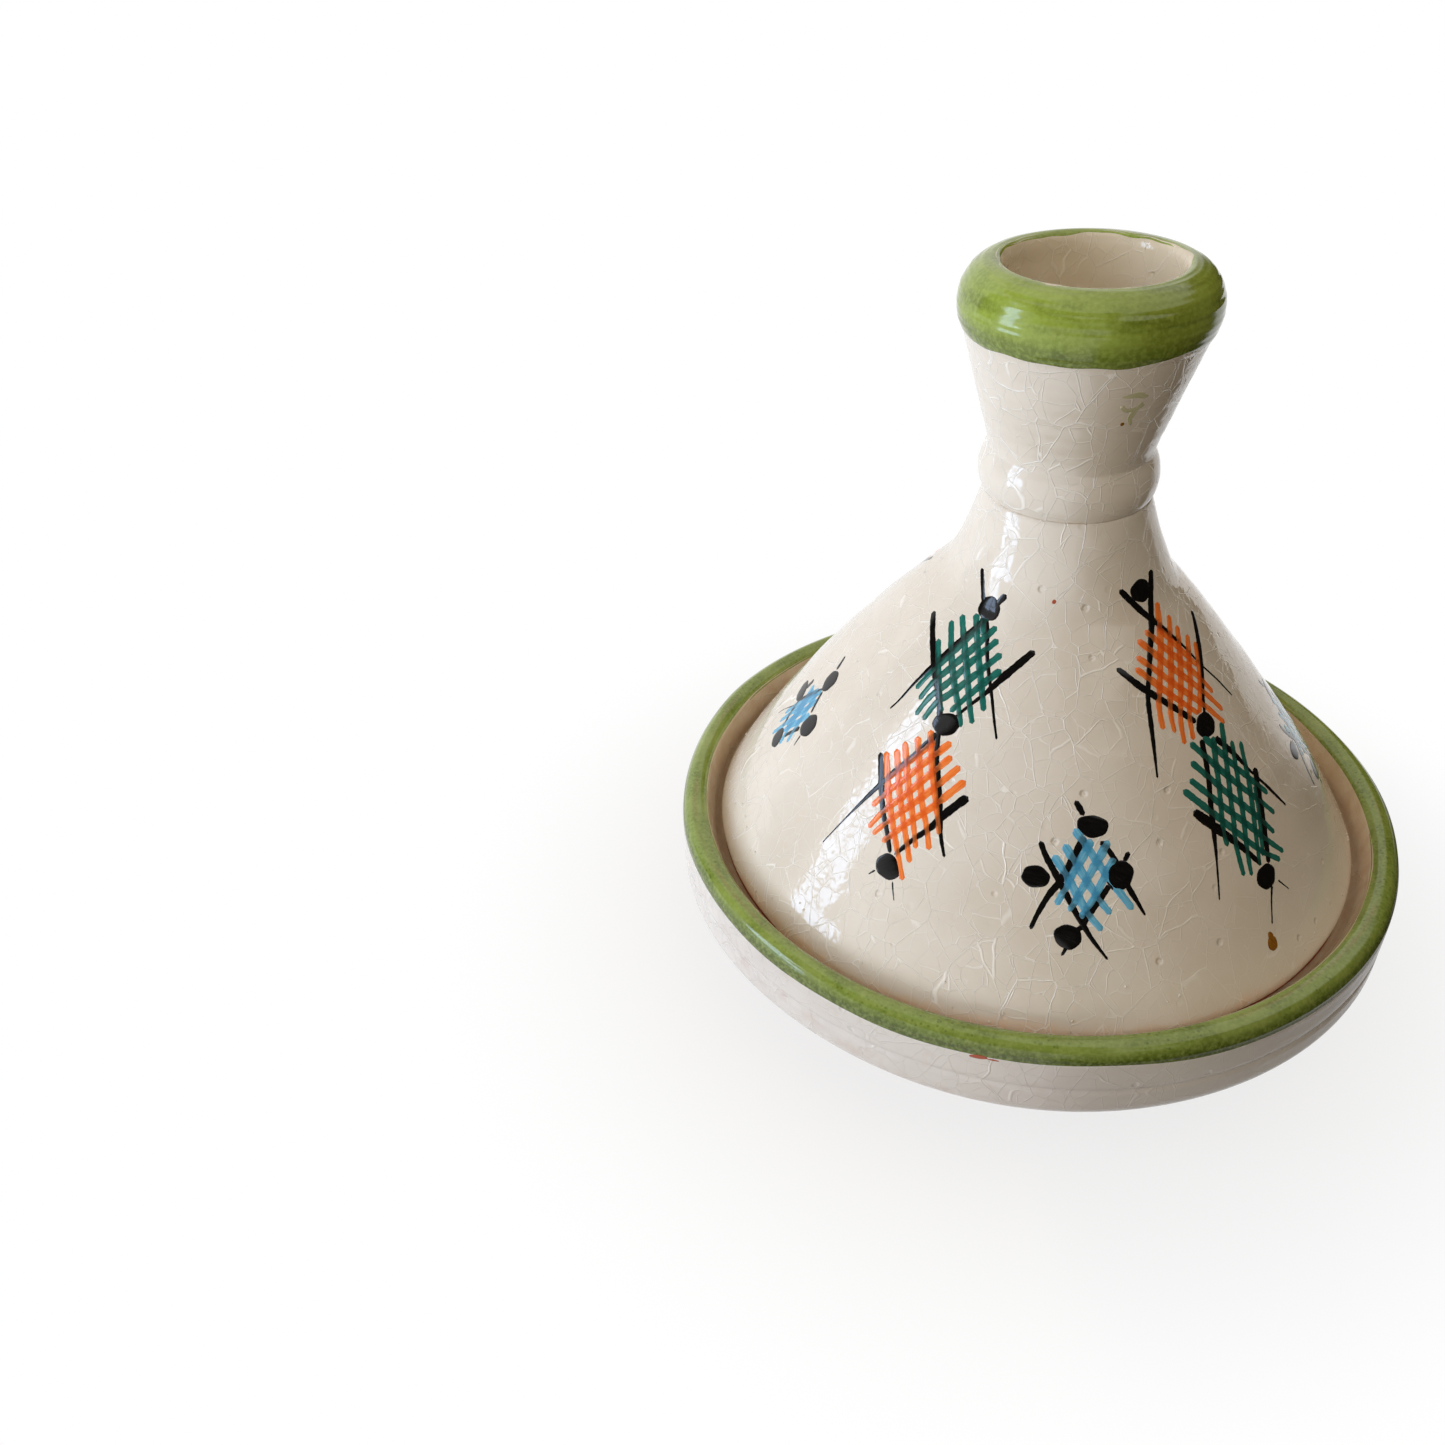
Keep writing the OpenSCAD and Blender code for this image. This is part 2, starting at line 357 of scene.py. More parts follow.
def solid_of_clay(name, path, spans, relief, body, material, nodes):
    """Revolve a path whose two ends lie on the axis; spans lists (length, step) for its rows."""
    starts = [0.0] + [end for end, step in spans[:-1]]
    rows = np.concatenate([np.arange(a, b, step) for a, (b, step) in zip(starts, spans)])
    s = np.r_[rows, path["s"][-1]][:, None]
    near_axis = np.minimum(1.0, np.interp(s, path["s"], path["r"]) / 4.0)
    r, z = on_path(path, s, relief(s, AROUND) * near_axis)
    r[0], r[-1] = 0.0, 0.0
    points = poles_to_points(HAND[body](round_the_axis(r, z, AROUND)))
    points[[0, -1], :2] = 0.0
    faces = faces_with_poles(len(s) - 2, TURNS)
    make_piece(name, points, faces, body, material, nodes)


# %% [markdown]
# ## Glaze coats
#
# Glaze is poured or brushed on, so a coat has a rounded edge that wanders a little, and it is
# thinner on sharp corners. Each coat is given by where it starts and ends along the profile. It
# keeps a map of itself: how far along it a point is, and the direction round the axis, so that
# brushed streaks can follow the turning of the wheel.

# %% Coat maker
EDGE_RUN = 0.8  # mm over which a coat's edge rises to its full depth
SUNK = -0.06  # the underside lies this far inside the clay
EDGE_ORDERS = (2, 5, 9, 17)
EDGE_SIZES = ((0.5, LEVEL), (0.5, LEVEL), (0.35, LEVEL), (0.25, LEVEL))


def coat_of_glaze(name, node, path, span, step, body, material, wander, seed, relief, tuck,
                  thin_by=None):
    """Loop of rows: out along the surface at depth GLAZE + relief, back just under the clay.

    span is where the coat starts and ends along the profile, wander moves these two edges by
    that many mm, tuck is the depth at which each edge ends (0 on the clay), and thin_by(s,
    angle) gives the mark 'thin' of each point."""
    start, end = span
    share = np.linspace(0.0, 1.0, max(int(round((end - start) / step)), 8) + 1)[:, None]
    low = start + wander[0] * waves(AROUND, 0.0, seed, EDGE_ORDERS, EDGE_SIZES)
    high = end + wander[1] * waves(AROUND, 0.0, seed + 50, EDGE_ORDERS, EDGE_SIZES)
    on_axis = path["r"][-1] < 0.5 and end >= path["s"][-1] - 0.01
    s = low + (high - low) * share
    rise = np.clip((s - low) / EDGE_RUN, 0, 1)
    fall = np.ones_like(s) if on_axis else np.clip((high - s) / EDGE_RUN, 0, 1)
    depth = tuck[0] + (GLAZE - tuck[0]) * np.sqrt(1 - (1 - rise) ** 2)
    depth = np.minimum(depth, tuck[1] + (GLAZE - tuck[1]) * np.sqrt(1 - (1 - fall) ** 2))
    r, z = on_path(path, s, depth + relief(s, AROUND) * np.minimum(rise, fall))
    back = s[::-4]
    rb, zb = on_path(path, back, SUNK)
    if on_axis:
        r[-1], rb[0] = 0.0, 0.0
    grid = np.concatenate([round_the_axis(r, z, AROUND), round_the_axis(rb, zb, AROUND)])
    grid = HAND[body](grid)
    s_all = np.concatenate([s, back])
    mean_r = float(np.interp((start + end) / 2, path["s"], path["r"]))
    turn = round_the_axis(mean_r, s_all, AROUND)
    thin = (thin_by(s_all, AROUND) if thin_by else 0) + 0 * s_all
    faces = grid_faces(len(grid), TURNS, 0, True)
    if on_axis:
        faces = faces_with_poles(len(grid) - 2, TURNS)
        grid, turn, thin = (poles_to_points(np.roll(v, -len(s), 0)) for v in (grid, turn, thin))
        grid[[0, -1], :2] = 0.0
    marks = {"turn": turn.reshape(-1, 3) * MM, "thin": thin.reshape(-1)}
    make_piece(name, grid.reshape(-1, 3), faces, body, material, [node], marks)


# %% [markdown]
# ## Colours and nodes
#
# Colours are written as sRGB hex values, as a colour chart gives them, and one function turns
# them to the linear values that Blender's shaders work in. A second small function adds a node,
# sets its properties and fills or links its inputs. Every Mix node here mixes colours.

# %% Colour and node helpers
A, B, MIXED = 6, 7, 2  # sockets of a Mix node that mixes colours


def linear(hex_colour):
    """sRGB to linear: c / 12.92 below 0.04045, else ((c + 0.055) / 1.055) ^ 2.4."""
    c = np.array([int(hex_colour[i:i + 2], 16) for i in (1, 3, 5)]) / 255
    c = np.where(c <= 0.04045, c / 12.92, ((c + 0.055) / 1.055) ** 2.4)
    return (*c.tolist(), 1.0)


def add(tree, kind, inputs=None, **settings):
    """Add a node. Settings are its properties, inputs its sockets by name or number: each gets
    a link from a socket, a link from a node's first or mixed output, a hex colour or a value."""
    made = tree.nodes.new("ShaderNode" + kind)
    if kind == "Mix":
        made.data_type = "RGBA"
    for key, value in settings.items():
        setattr(made, key, value)
    for key, value in (inputs or {}).items():
        if isinstance(value, bpy.types.Node):
            value = value.outputs[MIXED if value.bl_idname == "ShaderNodeMix" else 0]
        if isinstance(value, bpy.types.NodeSocket):
            tree.links.new(value, made.inputs[key])
        else:
            made.inputs[key].default_value = linear(value) if isinstance(value, str) else value
    return made


def new_material(name):
    """An empty node material; returns the material and its tree."""
    material = bpy.data.materials.new(name)
    material.use_nodes = True
    material.node_tree.nodes.clear()
    return material, material.node_tree


# %% [markdown]
# ## Red earthenware
#
# The bare body of the pot is iron-rich clay, thrown, trimmed and fired to a matt brick red. It
# has a fine sandy grain, darker iron specks and paler dusty patches. Nothing on it shines, so
# the roughness is high and the grain is a small bump on Object coordinates.

# %% Material: fired red earthenware
def red_earthenware():
    """Brick red mottled by slow noise, specked by cells, roughened by two grains of noise."""
    material, tree = new_material("fired_red_earthenware")
    place = add(tree, "TexCoord").outputs["Object"]
    patches = add(tree, "TexNoise", {"Vector": place, "Scale": 70.0, "Detail": 4.0})
    dust = add(tree, "TexNoise", {"Vector": place, "Scale": 260.0, "Detail": 5.0, "Roughness": 0.7})
    dusty = add(tree, "MapRange", {0: dust, 1: 0.56, 2: 0.74, 4: 0.55})
    cells = add(tree, "TexVoronoi", {"Vector": place, "Scale": 620.0})
    speck = add(tree, "MapRange", {0: cells, 1: 0.16, 2: 0.08, 4: 0.7})
    colour = "#7E3420"
    for amount, tone in ((patches, "#A9583A"), (dusty, "#C58C6C"), (speck, "#3A1A14")):
        colour = add(tree, "Mix", {0: amount, A: colour, B: tone})
    grain = add(tree, "TexNoise", {"Vector": place, "Scale": 1900.0, "Detail": 3.0})
    coarse = add(tree, "Bump", {"Height": dust, "Distance": 0.00030, "Strength": 0.7})
    fine = add(tree, "Bump", {"Height": grain, "Distance": 0.00012, "Strength": 0.8,
                              "Normal": coarse})
    skin = add(tree, "BsdfPrincipled", {"Base Color": colour, "Roughness": 0.86, "IOR": 1.5,
                                        "Normal": fine})
    add(tree, "OutputMaterial", {0: skin})
    return material


clay = red_earthenware()
print("material:", clay.name)

# %% [markdown]
# ## Crazed cream glaze
#
# The cream coat is an opaque tin-white glaze over red clay. As the pot cooled the glaze shrank
# more than the clay and cracked into a net of fine pale lines, 3 to 7 mm apart: that is crazing.
# A Voronoi texture's distance to the nearest cell edge draws it, on coordinates bent by noise so
# that the cracks curve; later cracks end where they meet an earlier one. Tiny pinholes show the
# dark clay, and where the glaze is thin the clay warms it to peach. The surface is glassy with a
# very slight orange peel.

# %% Cracks, pinholes and healed bubbles
def crack_lines(tree, place):
    """Long cracks 7 mm apart on bent coordinates, then short ones 3 mm apart that hop by the
    colour of the long cell they lie in, and so stop at the long cracks as later ones do."""
    bend = add(tree, "TexNoise", {"Vector": place, "Scale": 120.0, "Detail": 2.0}).outputs["Color"]
    bent = add(tree, "VectorMath", {0: bend, 1: (0.0018, 0.0018, 0.0018), 2: place},
               operation="MULTIPLY_ADD")
    taller = add(tree, "VectorMath", {0: bent, 1: (1.0, 1.0, 0.75)}, operation="MULTIPLY")
    long_net = add(tree, "TexVoronoi", {"Vector": taller, "Scale": 145.0},
                   feature="DISTANCE_TO_EDGE")
    long_line = add(tree, "MapRange", {0: long_net, 1: 0.0125, 2: 0.004})
    long_cell = add(tree, "TexVoronoi", {"Vector": taller, "Scale": 145.0}).outputs["Color"]
    hop = add(tree, "VectorMath", {0: long_cell, 1: (0.05, 0.05, 0.05), 2: taller},
              operation="MULTIPLY_ADD")
    short_net = add(tree, "TexVoronoi", {"Vector": hop, "Scale": 330.0}, feature="DISTANCE_TO_EDGE")
    short_line = add(tree, "MapRange", {0: short_net, 1: 0.024, 2: 0.008, 4: 0.8})
    where = add(tree, "TexNoise", {"Vector": place, "Scale": 60.0, "Detail": 3.0})
    strong = add(tree, "MapRange", {0: where, 1: 0.30, 2: 0.52, 3: 0.80})
    many = add(tree, "MapRange", {0: where, 1: 0.36, 2: 0.54, 3: 0.45})
    long_seen = add(tree, "Math", {0: long_line, 1: strong}, operation="MULTIPLY")
    short_seen = add(tree, "Math", {0: short_line, 1: many}, operation="MULTIPLY")
    any_crack = add(tree, "Math", {0: long_seen, 1: short_seen}, operation="MAXIMUM")
    # painted shade: the cracks show less towards +X, the side that lies in shade
    sides = add(tree, "SeparateXYZ", {0: place})
    crack_fade_in_shade = add(tree, "MapRange", {0: sides, 1: 0.012, 2: 0.034, 3: 1.0, 4: 0.45})
    return add(tree, "Math", {0: any_crack, 1: crack_fade_in_shade}, operation="MULTIPLY")


def pinholes(tree, place, amount):
    """Dots 0.3 mm wide in cells 5 mm wide, kept only where the cell's own red value is high."""
    holes = add(tree, "TexVoronoi", {"Vector": place, "Scale": 190.0})
    pick = add(tree, "SeparateColor", {0: holes.outputs["Color"]})
    rare = add(tree, "MapRange", {0: pick, 1: 0.80, 2: 0.84, 4: amount})
    dot = add(tree, "MapRange", {0: holes, 1: 0.046, 2: 0.022})
    return add(tree, "Math", {0: dot, 1: rare}, operation="MULTIPLY")


def healed_bubbles(tree, place):
    """Popped bubbles healed to dimples 1 mm wide, deeper where the cell's green value is high."""
    bubbles = add(tree, "TexVoronoi", {"Vector": place, "Scale": 200.0, "Randomness": 0.9})
    crater = add(tree, "MapRange", {0: bubbles, 1: 0.15, 2: 0.05}, interpolation_type="SMOOTHSTEP")
    pick = add(tree, "SeparateColor", {0: bubbles.outputs["Color"]})
    some = add(tree, "MapRange", {0: pick.outputs[1], 1: 0.55, 2: 0.62, 3: 0.25})
    return add(tree, "Math", {0: crater, 1: some}, operation="MULTIPLY")


# %% Material: crazed tin glaze
def crazed_glaze(name, thick, clouded, thin, crack_tone, crack_amount=0.5, hole_amount=0.6):
    """Cream clouded by noise, warmed by the mark 'thin', netted with cracks, dotted with holes."""
    material, tree = new_material(name)
    place = add(tree, "TexCoord").outputs["Object"]
    slow = add(tree, "TexNoise", {"Vector": place, "Scale": 45.0, "Detail": 3.0})
    cloud = add(tree, "MapRange", {0: slow, 1: 0.35, 2: 0.68})
    # thin glaze: the mark from the mesh, broken up by noise 3 mm across
    thin_mark = add(tree, "Attribute", attribute_name="thin").outputs["Fac"]
    patchy = add(tree, "TexNoise", {"Vector": place, "Scale": 330.0, "Detail": 4.0})
    ragged = add(tree, "Math", {0: patchy, 1: -0.5}, operation="ADD")
    spread = add(tree, "Math", {0: ragged, 1: 0.9, 2: thin_mark}, operation="MULTIPLY_ADD")
    thinness = add(tree, "MapRange", {0: spread, 1: 0.12, 2: 0.95})
    crack, hole = crack_lines(tree, place), pinholes(tree, place, hole_amount)
    crack_mix = add(tree, "Math", {0: crack, 1: crack_amount}, operation="MULTIPLY")
    colour = thick
    for amount, tone in ((cloud, clouded), (thinness, thin), (crack_mix, crack_tone),
                         (hole, "#6B5443")):
        colour = add(tree, "Mix", {0: amount, A: colour, B: tone})
    gloss = add(tree, "MapRange", {0: patchy, 1: 0.3, 2: 0.7, 3: 0.03, 4: 0.06})
    dull = add(tree, "Math", {0: crack, 1: 0.12, 2: gloss}, operation="MULTIPLY_ADD")
    # the skin: slow orange peel, then fine grain, dimples, cracks and holes on top of each other
    peel = add(tree, "TexNoise", {"Vector": place, "Scale": 260.0, "Detail": 2.0})
    grain = add(tree, "TexNoise", {"Vector": place, "Scale": 700.0, "Detail": 1.0})
    dimple = healed_bubbles(tree, place)
    normal = add(tree, "Bump", {"Height": peel, "Distance": 0.00005, "Strength": 0.6})
    for height, distance, strength, sunk in (
            (grain, 0.000055, 0.8, False), (dimple, 0.00020, 0.9, True),
            (crack, 0.00009, 0.8, False), (hole, 0.00010, 0.8, True)):
        normal = add(tree, "Bump", {"Height": height, "Distance": distance, "Strength": strength,
                                    "Normal": normal}, invert=sunk)
    skin = add(tree, "BsdfPrincipled", {"Base Color": colour, "Roughness": dull, "IOR": 1.5,
                                        "Normal": normal})
    add(tree, "OutputMaterial", {0: skin})
    return material


lid_cream = crazed_glaze("cream_tin_glaze_on_lid", "#E9E3D9", "#E0D8CB", "#EACBAC", "#FBF9F4",
                         crack_amount=0.8, hole_amount=0.8)
wall_cream = crazed_glaze("cream_tin_glaze_on_wall", "#E6E3DF", "#D9D4D0", "#C2A090", "#F2EFEA",
                          crack_amount=0.3)
bowl_cream = crazed_glaze("cream_tin_glaze_in_bowl", "#DFD2BC", "#D2C1A4", "#C39F79", "#EADFC9",
                          crack_amount=0.4)
cup_cream = crazed_glaze("cream_tin_glaze_in_cup", "#E6DCC8", "#DCD1BA", "#C6A87F", "#FAF5E8")
print("cream glaze nodes:", len(lid_cream.node_tree.nodes))

# %% [markdown]
# ## Copper green glaze
#
# The bands are a transparent green glaze brushed on while the wheel turns. It pools and thins,
# so its tone runs in streaks round the axis. The noise therefore reads the coat's own map, with
# the direction round the axis squeezed, so that each streak is long round the rim and narrow
# across it. Darker specks are bits of iron from the clay.

# %% Material: brushed copper green glaze
def green_glaze(name, deep, middle, light, speck_amount):
    """Three greens mixed by noise stretched round the axis, with dark specks under the gloss."""
    material, tree = new_material(name)
    place = add(tree, "TexCoord").outputs["Object"]
    turning = add(tree, "Attribute", attribute_name="turn").outputs["Vector"]
    squeezed = add(tree, "VectorMath", {0: turning, 1: (0.22, 0.22, 1.0)}, operation="MULTIPLY")
    streak = add(tree, "TexNoise", {"Vector": squeezed, "Scale": 480.0, "Detail": 4.0,
                                    "Roughness": 0.55})
    pool = add(tree, "TexNoise", {"Vector": place, "Scale": 85.0, "Detail": 3.0})
    middle_part = add(tree, "MapRange", {0: streak, 1: 0.22, 2: 0.56})
    light_part = add(tree, "MapRange", {0: pool, 1: 0.45, 2: 0.72, 4: 0.75})
    # the mark 'thin' is below 0 where the glaze pools, and on the knob's band also as painted shade
    # along its lower edge, and above 0 where it is rubbed thin
    thin_mark = add(tree, "Attribute", attribute_name="thin").outputs["Fac"]
    patchy = add(tree, "TexNoise", {"Vector": squeezed, "Scale": 900.0, "Detail": 4.0})
    spread = add(tree, "Math", {0: patchy, 1: 0.8, 2: thin_mark}, operation="MULTIPLY_ADD")
    worn = add(tree, "MapRange", {0: spread, 1: 0.62, 2: 1.30, 4: 0.9})
    pooled_and_shaded = add(tree, "MapRange", {0: thin_mark, 1: 0.0, 2: -1.0, 4: 0.95})
    # fine mottling half a millimetre across, where pigment and glaze have parted
    mottle = add(tree, "TexNoise", {"Vector": place, "Scale": 1500.0, "Detail": 4.0})
    mottled = add(tree, "MapRange", {0: mottle, 1: 0.42, 2: 0.66, 4: 0.45})
    cells = add(tree, "TexVoronoi", {"Vector": place, "Scale": 1050.0})
    speck = add(tree, "MapRange", {0: cells, 1: 0.30, 2: 0.12, 4: speck_amount})
    clump = add(tree, "MapRange", {0: pool, 1: 0.62, 2: 0.42})
    speckled = add(tree, "Math", {0: speck, 1: clump}, operation="MULTIPLY")
    colour = deep
    for amount, tone in ((middle_part, middle), (light_part, light), (pooled_and_shaded, "#4A5A12"),
                         (worn, "#8A7440"), (mottled, light), (speckled, "#3E4A16")):
        colour = add(tree, "Mix", {0: amount, A: colour, B: tone})
    gloss = add(tree, "MapRange", {0: streak, 1: 0.3, 2: 0.7, 3: 0.07, 4: 0.17})
    ridges = add(tree, "Bump", {"Height": streak, "Distance": 0.00007, "Strength": 0.5})
    skin = add(tree, "BsdfPrincipled", {"Base Color": colour, "Roughness": gloss, "IOR": 1.52,
                                        "Normal": ridges})
    add(tree, "OutputMaterial", {0: skin})
    return material


knob_green = green_glaze("copper_green_glaze_on_knob", "#5E6C20", "#8B9E3A", "#A3B75A", 0.15)
rim_green = green_glaze("copper_green_glaze_on_rim", "#586A22", "#809440", "#9DAE60", 0.5)
print("green glaze nodes:", len(rim_green.node_tree.nodes))

# %% [markdown]
# ## The turned pieces
#
# Clay first, then its coats. The clay keeps the marks of its making: turning rings under the
# foot and finger rings inside the lid, both a spiral, because the wheel turned while the tool
# moved outwards. A spiral ring is a sine of the length along the profile plus one turn.

# %% Marks of the wheel
def spiral(s, angle, pitch, depth):
    """depth * sin(2 pi s / pitch + angle): a groove that climbs one pitch each turn."""
    return depth * np.sin(2 * math.pi * s / pitch + angle)


def foot_marks(s, angle):
    """Turning rings 1.6 mm apart under the foot, and a softly uneven surface."""
    under = 1 - smooth(wall_start - 20.0, wall_start - 17.0, s)
    rings = spiral(s, angle, 1.6, 0.045) + spiral(s, angle, 5.1, 0.10)
    return under * rings - 0.16 * under


def hollow_marks(s, angle):
    """Finger rings 5.5 mm apart inside the lid, fading before the seat."""
    inside = 1 - smooth(hollow_end - 6.0, hollow_end, s)
    return inside * (spiral(s, angle, 5.5, 0.22) + spiral(s, angle, 1.9, 0.03))


# %% Dish: clay
solid_of_clay("dish_clay_body", dish_path,
              [(foot_end - 2, 0.9), (wall_start, 0.6), (bowl_end, 0.8), (dish_end - 0.5, 3.0)],
              foot_marks, "dish", clay, ["dish_clay"])


# %% Dish: cream wall
def wall_relief(s, angle):
    """Faint throwing lines 3 mm apart and slow swellings of the wall."""
    swellings = waves(angle, s, 21, (4, 7), ((0.03, 30), (0.02, 12)))
    return -0.03 + spiral(s, angle, 3.1, 0.012) + swellings


def wall_thinness(s, angle):
    """Glaze runs thin over the lower corner of the wall and along its edge."""
    edge = 1 - smooth(wall_start + 0.2, wall_start + 2.2, s)
    return 0.9 * edge + 0.12 * waves(angle, s, 31, (3, 6), ((1.0, 25), (0.6, 9)))


coat_of_glaze("dish_wall_coat", "dish_wall_glaze", dish_path, (wall_start, rim_start - 0.35), 0.35,
              "dish", wall_cream, wander=(0.8, 0.35), seed=3, relief=wall_relief,
              tuck=(0.0, 0.15), thin_by=wall_thinness)


# %% Dish: green rim
BAND_TUCK = (0.20, 0.30)  # a green band starts and ends inside the cream coats beside it


def rim_relief(s, angle):
    """Brush ridges round the rim, never higher than the coat itself."""
    return -0.05 + waves(angle, s, 41, (1, 3, 6), ((0.02, 1.1), (0.02, 2.3), (0.015, 4.0)))


def rim_wear(s, angle):
    """Positive where the crest is rubbed thin along a wandering line, -1 low outside."""
    crest = rim_start + 0.62 * (rim_end - rim_start)
    wandering = 0.25 * waves(angle, 0.0, 42, (2, 5), ((1, LEVEL), (0.6, LEVEL)))
    line = np.exp(-(((s - crest - wandering) / 0.5) ** 2))
    patches = smooth(-0.6, 0.8, waves(angle, s, 43, (3, 7, 13), ((0.6, 60), (0.4, 30), (0.4, 20))))
    low_side = 1 - smooth(rim_start + 0.2, rim_start + 2.4, s)
    return 0.55 * line * patches - low_side


coat_of_glaze("dish_rim_band", "dish_rim_glaze", dish_path, (rim_start - 1.15, rim_end + 0.4), 0.16,
              "dish", rim_green, wander=(0.35, 0.3), seed=53, relief=rim_relief,
              tuck=BAND_TUCK, thin_by=rim_wear)


# %% Dish: cream gallery and bowl
def bowl_relief(s, angle):
    """Finger rings in the bowl, 6 mm apart."""
    inside = smooth(lip_end, lip_end + 4.0, s)
    return -0.02 + inside * (spiral(s, angle, 6.0, 0.07) - 0.03)


def bowl_thinness(s, angle):
    """Thin on the gallery and over the lip of the bowl."""
    lip = np.exp(-(((s - gallery_end) / 1.6) ** 2))
    gallery = 0.35 * (1 - smooth(gallery_end, lip_end + 3.0, s))
    return np.clip(0.8 * lip + gallery, 0, 1)


coat_of_glaze("dish_bowl_coat", "dish_bowl_glaze", dish_path, (rim_end - 0.8, dish_end), 0.55,
              "dish", bowl_cream, wander=(0.3, 0.0), seed=103, relief=bowl_relief,
              tuck=(0.15, 0.0), thin_by=bowl_thinness)

# %% [markdown]
# ## The lid
#
# The lid is a hollow cone, bare inside and along its seat. Its glaze starts a little above the
# seat, thin and peach-coloured for a few millimetres, and gets its full thickness above that.
# The knob was thrown as a small cup and luted on, and a thin reddish line shows where.

# %% Lid: clay and coat
solid_of_clay("lid_clay_cone", lid_path,
              [(hollow_end, 0.8), (cone_start, 0.4), (neck_end, 1.0), (lid_end - 0.5, 3.0)],
              hollow_marks, "lid", clay, ["lid_clay"])


def cone_relief(s, angle):
    """Slow uneven swellings of a hand-wiped coat, 6 to 19 mm across."""
    sizes = ((0.03, 19), (0.022, 11), (0.014, 9), (0.01, 6))
    return -0.05 + waves(angle, s, 61, (4, 7, 11, 15), sizes)


def lid_thinness(s, angle):
    """Full at the edge, gone some 4 mm above a wandering line; thin again in the knob's groove."""
    wandering = waves(angle, 0.0, 71, (3, 8, 19), ((1, LEVEL), (0.6, LEVEL), (0.5, LEVEL)))
    edge = 1 - smooth(0.2, 3.4, s - bare_end + 0.7 * wandering)
    seam = 0.2 + 0.6 * waves(angle, 0.0, 72, (1, 3, 7), ((0.9, LEVEL), (0.6, LEVEL), (0.3, LEVEL)))
    groove = np.clip(seam, 0, 1) * smooth(neck_end - 0.5, neck_end - 0.1, s)
    return np.clip(0.62 * edge + groove, 0, 1)


coat_of_glaze("lid_cone_coat", "lid_glaze", lid_path, (bare_end, neck_end + 0.1), 0.52, "lid",
              lid_cream, wander=(0.35, 0.0), seed=6, relief=cone_relief,
              tuck=(0.0, 0.22), thin_by=lid_thinness)

# %% Knob: clay and flare coat
solid_of_clay("knob_clay_cup", knob_path, [(collar_start, 1.2), (knob_end - 0.5, 0.8)],
              lambda s, angle: 0 * s * angle, "lid", clay, ["knob_clay"])


def knob_relief(s, angle):
    """Fine throwing lines 2.3 mm apart round the collar and the flare."""
    swellings = waves(angle, s, 81, (2, 5), ((0.02, 14), (0.015, 8)))
    return -0.03 + spiral(s, angle, 2.3, 0.015) + swellings


def knob_thinness(s, angle):
    """Thin beside the groove."""
    return 0.5 * (1 - smooth(collar_start + 0.1, collar_start + 0.6, s))


coat_of_glaze("knob_flare_coat", "knob_glaze", knob_path, (collar_start - 0.05, flare_end + 1.6),
              0.3, "lid", lid_cream, wander=(0.05, 0.4), seed=7, relief=knob_relief,
              tuck=(0.22, 0.15), thin_by=knob_thinness)


# %% Knob: green band and cup
def band_pool_and_shade(s, angle):
    """Painted shade and run-down green: -0.8 along the band's lower edge, which faces the dark
    floor, 0 from 5 mm above it.
    """
    return -0.8 * (1 - smooth(flare_end + 1.5, flare_end + 6.0, s))


def cup_relief(s, angle):
    """Finger rings 4 mm apart inside the cup."""
    return -0.02 + spiral(s, angle, 4.0, 0.04)


coat_of_glaze("knob_rim_band", "knob_rim_glaze", knob_path, (flare_end + 0.9, mouth_end + 0.3),
              0.16, "lid", knob_green, wander=(0.4, 0.25), seed=57,
              relief=rim_relief, tuck=BAND_TUCK, thin_by=band_pool_and_shade)
coat_of_glaze("knob_cup_coat", "cup_glaze", knob_path, (mouth_end - 0.8, knob_end), 0.35, "lid",
              cup_cream, wander=(0.25, 0.0), seed=107, relief=cup_relief,
              tuck=(0.15, 0.0))

# %% [markdown]
# ## Painted ornament
#
# The lid carries cross-hatched lozenges with dots at their corners, an old and common way to
# fill a space with a few quick strokes. Under the gloss each stroke stands up a little, so it is
# modelled as a ribbon with a rounded back that follows the clay. A stroke is drawn in (u, v)
# millimetres, u round the pot to the right and v up its surface, from the ornament's centre. A
# place function takes u, v and the lift above the glaze to a point in space: there is one for
# the leaning cone, one for the bowl's floor, and one for any other coat.

# %% Places on the cone, in the bowl and on other coats
def on_cone(turn_deg, height):
    """Length s = s(height) + v gives r and z on the glazed cone; angle = turn + u / r."""
    start = length_at_height(lid_path, height, cone_start, neck_end)

    def place(u, v, lift):
        r0, _ = on_path(lid_path, start + v, GLAZE)
        lean = LID_LEAN * np.exp(-((height + 0.8 * v - LEAN_HEIGHT) / LEAN_SPREAD) ** 2)
        angle = math.radians(turn_deg) + u / r0
        angle = angle + lean * np.sin(angle) / r0
        depth = GLAZE + cone_relief(start + v, angle) + lift
        return lid_by_hand(round_the_axis(*on_path(lid_path, start + v, depth), angle))

    return place


def in_bowl(turn_deg):
    """The bowl's floor seen from above: x, y = (u, v) turned, z on the floor's own profile."""
    c, d = math.cos(math.radians(turn_deg)), math.sin(math.radians(turn_deg))

    def place(u, v, lift):
        x, y = c * u - d * v, d * u + c * v
        s = dish_end - np.hypot(x, y)
        _, z = on_path(dish_path, s, GLAZE + bowl_relief(s, np.arctan2(y, x)))
        return dish_by_hand(np.stack([x, y, z + lift], -1))

    return place


def on_coat(path, body, start, turn_deg):
    """Any other coat: s = start + v, angle = turn + u / r, lift above the coat's depth."""
    def place(u, v, lift):
        r0, _ = on_path(path, start + v, GLAZE)
        r, z = on_path(path, start + v, GLAZE + lift)
        return HAND[body](round_the_axis(r, z, math.radians(turn_deg) + u / r0))

    return place


